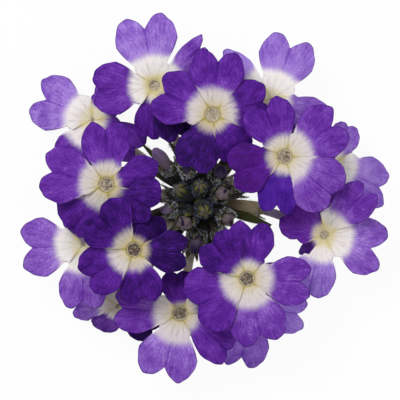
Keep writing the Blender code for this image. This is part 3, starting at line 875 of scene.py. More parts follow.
@dataclass
class Corolla:
    """One open floret: five lobes round a throat, and the tube down to its calyx.

    throat is its middle, lean how far its face tips outwards, and the calyx's mouth lies calyx_reach
    out and calyx_height up. lilac, pit, warm and milk are how lilac the tube is, how dark the painted
    shade in the pit, how warm the calyx and how white the eye; a high milk is partly painted light that
    lifts an eye lying in shade. open is how wide the throat is, and near_share how much nearer to its
    middle that lets the streaks start.
    """

    name: str
    throat: Point
    lean: float
    calyx_reach: float
    calyx_height: float
    calyx_rise: float
    lobes: tuple[Lobe, ...]
    lilac: float = 0.2
    pit: float = 0.2
    open: float = 1.0
    calyx_turn: float = 0.0
    warm: float = 0.1
    eye_white_and_painted_light: float = 0.0
    near_share: float = 0.9

    def way(self) -> np.ndarray:
        """Unit direction seen from above, from the middle of the head to the throat."""
        return unit(np.array(self.throat[:2]) - HEART)

    def calyx_way(self) -> np.ndarray:
        """Turn the floret's way by calyx_turn.

        Returns:
            Unit direction seen from above, from the middle of the head along the calyx.
        """
        way, turn = self.way(), math.radians(self.calyx_turn)
        return np.array((way[0] * math.cos(turn) - way[1] * math.sin(turn),
                         way[0] * math.sin(turn) + way[1] * math.cos(turn)))

    def seed(self) -> float:
        """A number of its own, so that no two florets have the same streaks."""
        return 1.37 * int(self.name[-2:])

    def calyx_mouth(self) -> tuple[np.ndarray, np.ndarray]:
        """Find where the calyx ends.

        Returns:
            The middle of its mouth and the direction in which it points.
        """
        way = self.calyx_way()
        mouth = np.array((*(HEART + way * self.calyx_reach), self.calyx_height))
        return mouth, unit((*way, self.calyx_rise))

    def shares(self, lobe: Lobe) -> tuple[np.ndarray, np.ndarray]:
        """Share out the angle to the lobe's two neighbours in the ratio of the widths.

        Args:
            lobe: One of the floret's lobes.

        Returns:
            The shares clockwise and anticlockwise, in radians, and for each whether the two lobes
            are far enough apart in height to overlap.
        """
        others = sorted(((other.turn - lobe.turn) % 360.0, i)
                        for i, other in enumerate(self.lobes) if other is not lobe)
        (ahead, after), (behind, before) = others[0], others[-1]
        pair = ((360.0 - behind, self.lobes[before]), (ahead, self.lobes[after]))
        share = [math.radians(gap) * lobe.width / (lobe.width + other.width) for gap, other in pair]
        clear = [abs(other.mid - lobe.mid) > JOINTS.clear_step for _, other in pair]
        return np.array(share), np.array(clear)

    def lobe_grid(self, lobe: Lobe, index: int) -> tuple[np.ndarray, dict[str, np.ndarray]]:
        """Work out one lobe as a surface of t across and s along.

        Near the throat a row fills the lobe's whole share of the circle, so that the eye is one
        disc; further out the rows run straight to the notched rim.

        Args:
            lobe: The lobe.
            index: Its place in the floret, which sets its ripples.

        Returns:
            The grid of points, and the marks ray, place and tone.
        """
        t = np.linspace(-1.0, 1.0, FORM.columns)[None, :]
        lip = np.linspace(-1.0, 0.0, FORM.lip_rows)[:-1]
        s = np.concatenate((lip, np.linspace(0.0, 1.0, FORM.rows) ** FORM.crowding))[:, None]
        inner = np.clip(s, -1.0, 0.0)
        s = np.clip(s, 0.0, 1.0)
        share, clear = self.shares(lobe)
        side = (t > 0).astype(int)
        share, clear = share[side], clear[side]
        base = np.minimum(JOINTS.root_turn, share)
        far, turn = lobe.spread(t, s, base)
        edge_far, edge_turn = lobe.spread(np.where(t > 0, 1.0, -1.0), s, base)
        edge_turn = np.abs(edge_turn)
        free = np.where(clear, JOINTS.clear_turn * smooth_step(s, *JOINTS.clear_start), 0.0)
        most = share + JOINTS.free_lap * smooth_step(edge_far, *JOINTS.free_start) / edge_far + free
        least = (share + JOINTS.joint_lap) * (1.0 - smooth_step(edge_far, *JOINTS.joint_end))
        ratio = np.clip(edge_turn, least, np.maximum(most, least)) / edge_turn
        turn = turn * ratio
        phase = 1.7 * index + lobe.turn
        jag = FORM.ragged * np.sin(13.0 * t + phase) + FORM.finely_ragged * np.sin(23.0 * t + 2 * phase)
        far = far * (1.0 + jag * s**3) + inner * (HUB_RADIUS - THROAT_RADIUS * self.open)
        u, v = far * np.cos(turn), far * np.sin(turn)
        height = lobe.height(u, v, phase) - THROAT_SINK * inner**2
        height = height + JOINTS.shingle * t * smooth_step(far, *JOINTS.shingle_start)
        v = v + lobe.sweep * (u / lobe.reach) ** 2
        facing = math.radians(lobe.turn)
        x = u * math.cos(facing) - v * math.sin(facing)
        y = u * math.sin(facing) + v * math.cos(facing)
        way = self.way()
        z = self.throat[2] + height - self.lean * (x * way[0] + y * way[1])
        bend = LYING_TABLE_BEND if lobe.lies else TABLE_BEND
        z = FLOOR_CLEARANCE + np.logaddexp(0.0, (z - FLOOR_CLEARANCE) * bend) / bend
        grid = np.stack((self.throat[0] + x, self.throat[1] + y, z), axis=-1)
        angle = np.arctan2(y, x) + self.seed()
        ones = np.ones_like(x)
        run = (1.0 - s) * FORM.slant * (lobe.reach - HUB_RADIUS)
        edge = np.minimum(run * ones, (1.0 - np.abs(t)) * edge_far * np.abs(edge_turn * ratio))
        seen = np.maximum(far, HUB_RADIUS - self.near_share * self.open)
        marks = {
            "ray": np.stack((np.cos(angle), np.sin(angle), seen), axis=-1),
            "place": np.stack((t * ones, self.eye_white_and_painted_light * ones, edge), axis=-1),
            "tone": np.stack((lobe.tone * ones, lobe.hue.value * ones, lobe.eye * ones), axis=-1),
        }
        return grid, marks

    def limb(self, finish: bpy.types.Material) -> bpy.types.Object:
        """Build the five lobes as thin walls.

        Args:
            finish: The petal material.

        Returns:
            The limb, in place of the modelled corolla.
        """
        work = Patchwork()
        for index, lobe in enumerate(self.lobes):
            grid, marks = self.lobe_grid(lobe, index)
            work.add(grid, **marks)
        obj = work.build(self.name + "_limb", finish)
        wall = obj.modifiers.new("thickness", "SOLIDIFY")
        wall.thickness = FORM.thickness * MM
        wall.offset = 0.0
        return obj

    def tube(self, finish: bpy.types.Material) -> bpy.types.Object:
        """Build the tube: from the calyx up to the throat, over its rim and down into the pit.

        radius = profile (1 + lump cos(5 angle) + 0.4 lump sin(9 angle)), and inside the lip each ring
        is lifted by warts: sin(6 angle + 2.3 ring) sin(11 angle - 1.7 ring).

        Args:
            finish: The tube material.

        Returns:
            The tube, as one closed surface.
        """
        mouth, axis = self.calyx_mouth()
        seat, throat = mouth - axis * TUBE.seat, np.array(self.throat)
        up = unit((*(self.way() * self.lean), 1.0))
        path, ways = curve(seat, axis, throat - up * TUBE.drop, up, np.linspace(0.0, 1.0, TUBE.rings))
        depths = np.array(TUBE.end_depths)
        centres = np.concatenate((path[:1], path, throat - up * depths[:, None]))
        ways = np.concatenate((ways[:1], ways, np.repeat(up[None], len(depths), axis=0)))
        rings = np.array(TUBE.end_radii) * (0.25 + 0.75 * self.open)
        radii = np.concatenate(((0.0,), np.full(TUBE.rings, TUBE.radius), rings))[:, None]
        turn = ring_turns(TUBE.corners)
        place = np.arange(len(centres))[:, None] - (1 + TUBE.rings + TUBE.lip)
        lump = np.where((place >= 0) & (place < 5), TUBE.lump, 0.0)
        radii = radii * (1.0 + lump * np.cos(5 * turn + self.seed()) + 0.4 * lump * np.sin(9 * turn))
        wart = np.sin(6 * turn + 2.3 * place + self.seed()) * np.sin(11 * turn - 1.7 * place)
        lifts = np.where((place > 3) & (place < 8), TUBE.wart * wart + TUBE.wart_rise, 0.0)
        grid = sweep(centres, ways, radii, lifts)
        along = np.concatenate(((0.0,), np.linspace(0.0, 1.0, TUBE.rings), np.ones(len(depths))))
        inner = smooth_step(place[:, 0], 0.0, 3.0)
        marks = np.stack((along, np.full(len(along), self.lilac), inner * (1.0 + self.pit)), axis=-1)
        work = Patchwork()
        work.add(grid[::-1], wrap=True, tube=marks[::-1, None, :])
        return work.build(self.name + "_tube", finish, weld=True)

    def beard(self, rng: np.random.Generator) -> Tuft:
        """Place the hairs that close the throat.

        Args:
            rng: Seeded random numbers.

        Returns:
            Their roots, their directions and their lengths.
        """
        turn = rng.uniform(0.0, 2 * math.pi, TUBE.hairs)
        ring = rng.uniform(0.5, 1.12, TUBE.hairs)
        out = np.stack((np.cos(turn), np.sin(turn), np.zeros(TUBE.hairs)), axis=-1)
        down = np.array((0.0, 0.0, -TUBE.hair_depth))
        roots = np.array(self.throat) + out * ring[:, None] * self.open + down
        ways = unit(-out * rng.uniform(0.5, 1.3, (TUBE.hairs, 1)) + np.array((0.0, 0.0, 0.7))
                    + rng.normal(0.0, 0.3, (TUBE.hairs, 3)))
        return roots, ways, rng.uniform(0.3, 0.55, TUBE.hairs)


@dataclass
class Calyx:
    """One green cup with ribs and five teeth, which may close over what it holds.

    hole is the radius inside and tooth a tooth's length. light, warm and tip are how light and warm
    the green is and how light the teeth's tips, and close is how far the teeth meet, from 0 to 1.
    foot is the radius at the root. climb is how high the rings at the rim follow the teeth, up
    outside as far as the highest one and down inside. depths and widths belong to the rings in the
    cup: their depth in mm and their radius in holes.
    """

    root: np.ndarray
    mouth: np.ndarray
    axis: np.ndarray
    hole: float
    tooth: float
    light: float = 0.1
    warm: float = 0.1
    close: float = 0.0
    tip: float = 0.25
    wall: float = 0.4
    foot: float = 0.5
    ribs: float = 0.08
    teeth: int = 5
    rings: int = 14
    corners: int = 30
    climb: tuple[float, ...] = (0.0, 0.4, 0.75, 1.0, 0.94, 0.5, 0.0)
    depths: tuple[float, ...] = (0.35, 0.75, 1.0, 1.0)
    widths: tuple[float, ...] = (1.12, 1.05, 1.0, 0.0)

    def grid(self) -> tuple[np.ndarray, np.ndarray]:
        """Work out the cup as a surface of the angle round it and the way along it.

        radius = profile (1 - 0.08 cos(5 angle)). The rim is lifted by the teeth, each a tent raised to
        the power 1.4 - 0.5 close. They lean out by a fifth of their length when open; as they close
        they lean in over the mouth by nearly the rim's radius, and stand up to a third lower.

        Returns:
            The grid, from inside the cup over the rim to the root, and the mark leaf.
        """
        rim = self.hole + self.wall
        start = unit(self.mouth - self.root)
        share = np.linspace(0.0, 1.0, self.rings)
        path, ways = curve(self.root, start, self.mouth, self.axis, share)
        outer = self.foot + (rim - self.foot) * smooth_step(share, 0.0, 0.75)
        outside = self.climb.index(max(self.climb)) + 1
        inside = len(self.climb) - outside
        depths = np.array(self.depths)[:, None]
        level = len(self.climb) + len(self.depths)
        centres = np.concatenate((path[:1], path, np.repeat(self.mouth[None], len(self.climb), axis=0),
                                  self.mouth - self.axis * depths))
        ways = np.concatenate((ways[:1], ways, np.repeat(self.axis[None], level, axis=0)))
        radii = np.concatenate(((0.0,), outer, np.full(outside, rim * 1.04), np.full(inside, rim * 0.94),
                                self.hole * np.array(self.widths)))[:, None]
        up = np.concatenate((np.zeros(1 + self.rings), self.climb, np.zeros(len(depths))))[:, None]
        turn = ring_turns(self.corners)
        slope = 1.0 - np.abs(((self.teeth * turn / (2 * math.pi)) % 1.0) * 2.0 - 1.0)
        tent = slope ** (1.4 - 0.5 * self.close)
        lifts = self.tooth * up * tent
        lean = 0.2 * lifts - self.close * (0.2 * lifts + (rim - 0.12) * (up * tent) ** 1.2)
        radii = radii * (1.0 + self.ribs * np.cos(self.teeth * turn + math.pi)) + lean
        grid = sweep(centres, ways, radii, lifts * (1.0 - 0.35 * self.close * up * tent))
        # Painted shade: the green runs to near-black towards the root and deep inside the cup.
        light = np.concatenate(((0.0,), self.light * share**2, np.full(outside, self.light),
                                np.full(inside, 0.3), (0.2, 0.1, 0.0, 0.0)))[:, None]
        warm = np.concatenate(((0.0,), self.warm * share, np.full(outside, self.warm * 0.4),
                               np.full(inside, 0.2), (0.1, 0.0, 0.0, 0.0)))[:, None]
        light = light + 0.03 * np.cos(self.teeth * turn + math.pi) + self.tip * up * tent
        marks = np.stack((light, warm + 0.0 * turn, np.zeros_like(light)), axis=-1)
        return grid[::-1], marks[::-1]


# How far the teeth of a bud's calyx close over it
CLOSED = {Flesh.GREEN: 0.97, Flesh.PINK: 0.3, Flesh.LILAC: 0.1, Flesh.PURPLE: 0.1}


@dataclass
class Bud:
    """One closed bud in its calyx.

    It stands from the calyx's mouth to its tip, girth is its radius, plump how much its head swells
    beyond that, and slit the way in degrees that its opening faces, an opening painted as dark shade
    on the closed mesh. neck is how deep it stands in the calyx, whose hole is held times its girth
    plus gap. folds is how deep its folds are, as a share of its radius.
    """

    name: str
    tip: Point
    mouth: Point
    root: Point
    girth: float
    flesh: Flesh
    plump: float = 1.0
    slit: float | None = None
    neck: float = 0.7
    held: float = 0.7
    gap: float = 0.3
    folds: float = 0.34
    slit_width: float = 0.3
    rings: int = 16
    corners: int = 30

    def axis(self) -> np.ndarray:
        """Unit direction from the calyx mouth to the bud's tip."""
        return unit(np.array(self.tip) - np.array(self.mouth))

    def calyx(self) -> Calyx:
        """Work out the green cup that holds the bud.

        Returns:
            The calyx, whose teeth meet over a green bud.
        """
        green = self.flesh is Flesh.GREEN
        hole = self.girth * self.held + self.gap + 0.8 * (self.plump - 1.0)
        return Calyx(np.array(self.root), np.array(self.mouth), self.axis(), hole,
                     tooth=2.7 if green else 1.9, light=0.04, warm=0.03,
                     close=CLOSED[self.flesh], tip=1.0 if green else 0.5)

    def build(self, finish: bpy.types.Material) -> bpy.types.Object:
        """Build the folded head: radius = profile (1 - depth (1 - |sin(2.5 angle + twist)|^0.6)).

        The dark slit is a spiral: exp(-(arc to it / 0.3)^2), with the arc in millimetres.

        Args:
            finish: The bud's material.

        Returns:
            The bud, as one closed surface.
        """
        rise = np.linspace(0.0, 1.0, self.rings)
        length = np.linalg.norm(np.array(self.tip) - np.array(self.mouth)) + self.neck
        start = np.array(self.mouth) - self.axis() * self.neck
        swell = 0.72 + 0.22 * smooth_step(rise, 0.25, 0.6)
        close = np.sqrt(np.clip(1.0 - np.clip((rise - 0.62) / 0.38, 0.0, None) ** 2.4, 0.0, 1.0))
        profile = self.girth * swell * close * (1.0 + (self.plump - 1.0) * smooth_step(rise, 0.25, 0.55))
        profile[-1] = self.girth * 0.2
        along = np.concatenate(((0.0,), rise, (0.97, 0.93)))[:, None]
        radii = np.concatenate(((0.0,), profile, (self.girth * 0.12, 0.0)))[:, None]
        turn = ring_turns(self.corners)
        fold = np.abs(np.sin(2.5 * turn + 2.2 * along + self.girth * 9.0)) ** 0.6
        depth = self.folds * smooth_step(along, 0.3, 0.9)
        radii = radii * (1.0 - depth * (1.0 - fold))
        centres = start + self.axis() * (along * length)
        grid = sweep(centres, np.repeat(self.axis()[None], len(along), axis=0), radii)
        slit = np.zeros_like(radii)
        if self.slit is not None:
            away = turn - math.radians(self.slit) - 1.6 * (1.0 - along)
            arc = (np.mod(away + math.pi, 2 * math.pi) - math.pi) * radii
            slit = np.exp(-((arc / self.slit_width) ** 2)) * smooth_step(along, 0.6, 0.75)
        marks = np.stack(((1.0 - fold) * depth / self.folds, along + 0.0 * turn, slit), axis=-1)
        work = Patchwork()
        work.add(grid[::-1], wrap=True, bud=marks[::-1])
        return work.build(self.name + "_head", finish, weld=True)


def hair_mesh(name: str, tufts: list[Tuft], width: float,
              finish: bpy.types.Material) -> bpy.types.Object:
    """Build hairs as bent three-sided cones, all at once.

    Each has corners root + w (cos a side + sin a other), a ring of 0.7 w a little past half way, and
    a tip that is bent aside at random.

    Args:
        name: The piece's name.
        tufts: Roots, directions and lengths of each tuft's hairs.
        width: Radius at the root, in mm.
        finish: The hair material.

    Returns:
        The hairs, as one object.
    """
    roots, ways, lengths = (np.concatenate([part[k] for part in tufts]) for k in range(3))
    count = len(roots)
    helper = np.where(np.abs(ways[:, 2:3]) > 0.9, (1.0, 0.0, 0.0), (0.0, 0.0, 1.0))
    side = unit(np.cross(ways, helper))
    other = np.cross(ways, side)
    turn = ring_turns(3)[None, :, None]
    ring = np.cos(turn) * side[:, None, :] + np.sin(turn) * other[:, None, :]
    bend = np.random.default_rng(SEED).normal(0.0, 0.16, (count, 3)) * lengths[:, None]
    middle = roots + ways * (0.55 * lengths)[:, None]
    tip = roots + ways * lengths[:, None] + bend
    points = np.concatenate((roots[:, None] + ring * width, middle[:, None] + ring * width * 0.7,
                             tip[:, None]), axis=1)
    base = 7 * np.arange(count)[:, None]
    faces = []
    for k in range(3):
        n = (k + 1) % 3
        faces += (base + np.array((k, n, 3 + n, 3 + k))).tolist()
        faces += (base + np.array((3 + k, 3 + n, 6))).tolist()
    faces += (base + np.array((2, 1, 0))).tolist()
    mesh = bpy.data.meshes.new(name)
    mesh.from_pydata(points.reshape(-1, 3) * MM, [], faces)
    mesh.shade_smooth()
    mesh.materials.append(finish)
    obj = bpy.data.objects.new(name, mesh)
    bpy.context.scene.collection.objects.link(obj)
    return obj


@dataclass(frozen=True)
class Coat:
    """How hairs stand on a grid: on which rows and columns, how many, how long and how far bent.

    lift is how far they lean along the rows, towards the first one.
    """

    rows: tuple[int, int]
    count: int
    length: tuple[float, float]
    lift: float
    columns: tuple[int | None, int | None] = (None, None)


FLORET_CUP = Coat((4, 20), 100, (0.28, 0.55), 0.5)
BUD_CUP = Coat((4, 20), 300, (0.28, 0.55), 0.5)
BUD_TEETH = Coat((6, 12), 110, (0.3, 0.55), 0.2)
OUTER_RIM = Coat((5, 12), 190, (0.25, 0.5), 0.3)
BRACT_EDGE = Coat((1, -2), 70, (0.25, 0.5), 0.3, (5, 7))
BRACT_SKIN = Coat((1, -2), 60, (0.25, 0.5), 0.3)
STALK_SKIN = Coat((1, -2), 150, (0.3, 0.6), 0.2)


def tuft(grid: np.ndarray, coat: Coat, rng: np.random.Generator) -> Tuft:
    """Place hairs at random over some rows of a wrapped grid.

    Args:
        grid: The surface's points.
        coat: Where the hairs stand, how many and how long.
        rng: Seeded random numbers.

    Returns:
        Roots, directions and lengths.
    """
    down = np.roll(grid, -1, axis=0) - grid
    across = np.roll(grid, -1, axis=1) - grid
    normal = np.cross(down, across)
    size = np.linalg.norm(normal, axis=-1)
    band = np.zeros(grid.shape[:2])
    haired = slice(*coat.rows), slice(*coat.columns)
    band[haired] = size[haired] ** 0.5
    band[-1] = 0.0
    pick = rng.choice(band.size, coat.count, p=band.ravel() / band.sum())
    r, c = np.unravel_index(pick, band.shape)
    shift = rng.uniform(0.0, 1.0, (coat.count, 2, 1))
    roots = grid[r, c] + down[r, c] * shift[:, 0] + across[r, c] * shift[:, 1]
    ways = unit(normal[r, c]) - coat.lift * unit(down[r, c] + 1e-9)
    ways = ways + rng.normal(0.0, 0.3, (coat.count, 3))
    return roots, unit(ways), rng.uniform(*coat.length, coat.count)


@dataclass(frozen=True)
class Stalk:
    """The four-angled stub that the head stands on: the height and the radius of each ring."""

    heights: tuple[float, ...] = (0.0, 0.0, 2.5, 5.0, 7.5, 9.6, 11.0, 11.2)
    radii: tuple[float, ...] = (0.0, 1.7, 1.58, 1.68, 1.72, 1.32, 0.55, 0.0)
    corners: int = 24
    turn: float = math.radians(20.0)
    angle: float = 0.09

    def grid(self) -> np.ndarray:
        """Work out the surface: radius = ring's radius (1 - 0.09 (1 - cos(4 angle))).

        Returns:
            The grid, from the top down.
        """
        turn = ring_turns(self.corners) - self.turn
        radii = np.array(self.radii)[:, None] * (1.0 - self.angle * (1.0 - np.cos(4 * turn)))
        rings = len(self.heights)
        centres = np.column_stack((np.full(rings, HEART[0]), np.full(rings, HEART[1]), self.heights))
        return sweep(centres, np.repeat(((0.0, 0.0, 1.0),), rings, axis=0), radii)[::-1]


@dataclass(frozen=True)
class Bract:
    """One narrow leaf among the cups: its way in degrees, its half thickness and its folded sides."""

    turn: float
    height: float
    length: float
    wide: float
    half: float = 0.16
    fold: float = 0.35
    rings: int = 14
    corners: int = 12

    def grid(self) -> np.ndarray:
        """Work out a flat lens carried outward, half width wide sin(pi s)^0.6, with its sides up.

        Returns:
            The grid, from the tip to the root.
        """
        turn = math.radians(self.turn)
        s = np.linspace(0.04, 1.0, self.rings)
        way = np.array((math.cos(turn), math.sin(turn), 0.05))
        centres = np.array((*HEART, self.height)) + way * (self.length * s)[:, None]
        around = ring_turns(self.corners)
        half = self.wide * np.clip(np.sin(math.pi * np.clip(s, 0.0, 0.97)), 0.0, 1.0)[:, None] ** 0.6
        half = np.concatenate((half[:1] * 0, half, half[-1:] * 0))
        centres = np.concatenate((centres[:1], centres, centres[-1:]))
        across = np.array((-way[1], way[0], 0.0))
        up = np.array((0.0, 0.0, 1.0))
        raised = np.minimum(half, self.half) * np.sin(around) + self.fold * np.abs(np.cos(around)) * half
        grid = centres[:, None, :] + (half * np.cos(around))[..., None] * across
        return (grid + raised[..., None] * up)[::-1]


@dataclass
class Greenery:
    """The stalk, every calyx and the bracts, which grow together.

    Cups whose mouths are more than lit_hair_start from the middle have hairs round their rims in a
    painted lit white, as the bracts' edges have; the other hairs are a painted shaded blue-grey.
    """

    corollas: list[Corolla]
    buds: list[Bud]
    stalk: Stalk = Stalk()
    bracts: tuple[Bract, ...] = (
        Bract(76.0, 2.6, 6.5, 0.8), Bract(186.0, 2.8, 6.5, 0.8), Bract(341.0, 6.4, 13.6, 0.85),
        Bract(281.0, 7.2, 14.6, 0.8), Bract(135.5, 7.0, 14.4, 0.75))
    lit_hair_start: float = 4.5

    def calyces(self) -> list[Calyx]:
        """List the calyx of every floret, then of every bud.

        Returns:
            The calyces, in the order of the florets and the buds.
        """
        made = []
        for flower in self.corollas:
            mouth, axis = flower.calyx_mouth()
            drop = 0.3 + 2.6 * flower.calyx_rise
            root = np.array((*(HEART + flower.calyx_way() * 0.5), flower.calyx_height - drop))
            made.append(Calyx(root, mouth, axis, hole=0.95, tooth=1.5,
                              light=0.06 + 0.3 * flower.warm, warm=flower.warm))
        return made + [bud.calyx() for bud in self.buds]

    def build(self, green: bpy.types.Material, leaf: bpy.types.Material, hair: bpy.types.Material,
              lit: bpy.types.Material, rng: np.random.Generator) -> list[bpy.types.Object]:
        """Build the greenery and its hairs.

        Args:
            green: Finish of the calyces.
            leaf: Finish of the stalk and the bracts.
            hair: Finish of the other hairs, a painted shaded blue-grey.
            lit: Finish of the hairs on the outer rims and the bracts' edges, a painted lit white.
            rng: Seeded random numbers.

        Returns:
            The pieces that stand for the modelled stalk and calyces.
        """
        cups, plants, tufts, rims = Patchwork(), Patchwork(), [], []
        for k, cup in enumerate(self.calyces()):
            grid, marks = cup.grid()
            cups.add(grid, wrap=True, leaf=marks)
            near = k >= len(self.corollas)
            tufts.append(tuft(grid, BUD_CUP if near else FLORET_CUP, rng))
            if near:
                tufts.append(tuft(grid, BUD_TEETH, rng))
            if np.hypot(*(cup.mouth[:2] - HEART)) > self.lit_hair_start:
                rims.append(tuft(grid, OUTER_RIM, rng))
        stalk = self.stalk.grid()
        plants.add(stalk, wrap=True, leaf=(0.35, 0.2, 0.0))
        for bract in self.bracts:
            grid = bract.grid()
            plants.add(grid, wrap=True, leaf=(0.6, 0.1, 0.0))
            rims.append(tuft(grid, BRACT_EDGE, rng))
            tufts.append(tuft(grid, BRACT_SKIN, rng))
        tufts.append(tuft(stalk, STALK_SKIN, rng))
        return [cups.build("calyces", green, weld=True),
                plants.build("stalk_and_bracts", leaf, weld=True),
                hair_mesh("calyx_hairs", tufts, CALYX_HAIR, hair),
                hair_mesh("rim_hairs", rims, RIM_HAIR, lit)]


@dataclass
class Studio:
    """The light table, the soft lights and the camera; span is how many mm the picture shows."""

    span: float = 72.0
    centre: tuple[float, float] = (-0.9, -0.54)
    lens: float = 400.0
    sensor: float = 36.0
    level: float = 9.0
    table_half: float = 1500.0
    table_top: float = -0.02
    room_light: float = 0.6

    def table(self) -> bpy.types.Object:
        """Build the pale table top under the head.

        Returns:
            The table top.
        """
        work = Patchwork()
        edge = np.linspace(-self.table_half, self.table_half, 3)
        x, y = np.meshgrid(edge, edge)
        work.add(np.stack((y, -x, np.full_like(x, self.table_top)), axis=-1)[:, ::-1])
        obj = work.build("light_table", TableFinish().material())
        return obj

    def light(self, name: str, place: Point, size: float, power: float) -> None:
        """Hang one soft square white lamp that faces the head.

        Args:
            name: The lamp's name.
            place: Where it hangs, in metres.
            size: Its side, in metres.
            power: Its power, in watts.
        """
        data = bpy.data.lights.new(name, "AREA")
        data.size, data.energy = size, power
        lamp = bpy.data.objects.new(name, data)
        lamp.location = place
        lamp.rotation_euler = (-lamp.location).to_track_quat("-Z", "Y").to_euler()
        bpy.context.scene.collection.objects.link(lamp)

    def camera(self) -> None:
        """Set the camera straight over the head, far off, with the photograph's framing."""
        data = bpy.data.cameras.new("camera")
        data.lens, data.sensor_width = self.lens, self.sensor
        data.clip_start, data.clip_end = 0.01, 20.0
        far = self.span * self.lens / self.sensor
        camera = bpy.data.objects.new("camera", data)
        camera.location = (self.centre[0] * MM, self.centre[1] * MM, (far + self.level) * MM)
        bpy.context.scene.collection.objects.link(camera)
        bpy.context.scene.camera = camera

    def world(self) -> None:
        """Fill the room with plain white light."""
        world = bpy.data.worlds.new("room")
        world.use_nodes = True
        back = world.node_tree.nodes["Background"]
        back.inputs["Color"].default_value = (1.0, 1.0, 1.0, 1.0)
        back.inputs["Strength"].default_value = self.room_light
        bpy.context.scene.world = world
        bpy.context.scene.view_settings.view_transform = "Standard"

    def build(self) -> None:
        """Set up the whole studio."""
        self.table()
        self.light("key", place=(-0.25, 0.3, 0.5), size=0.35, power=3.2)
        self.light("fill", place=(0.4, -0.25, 0.35), size=0.5, power=1.2)
        self.camera()
        self.world()


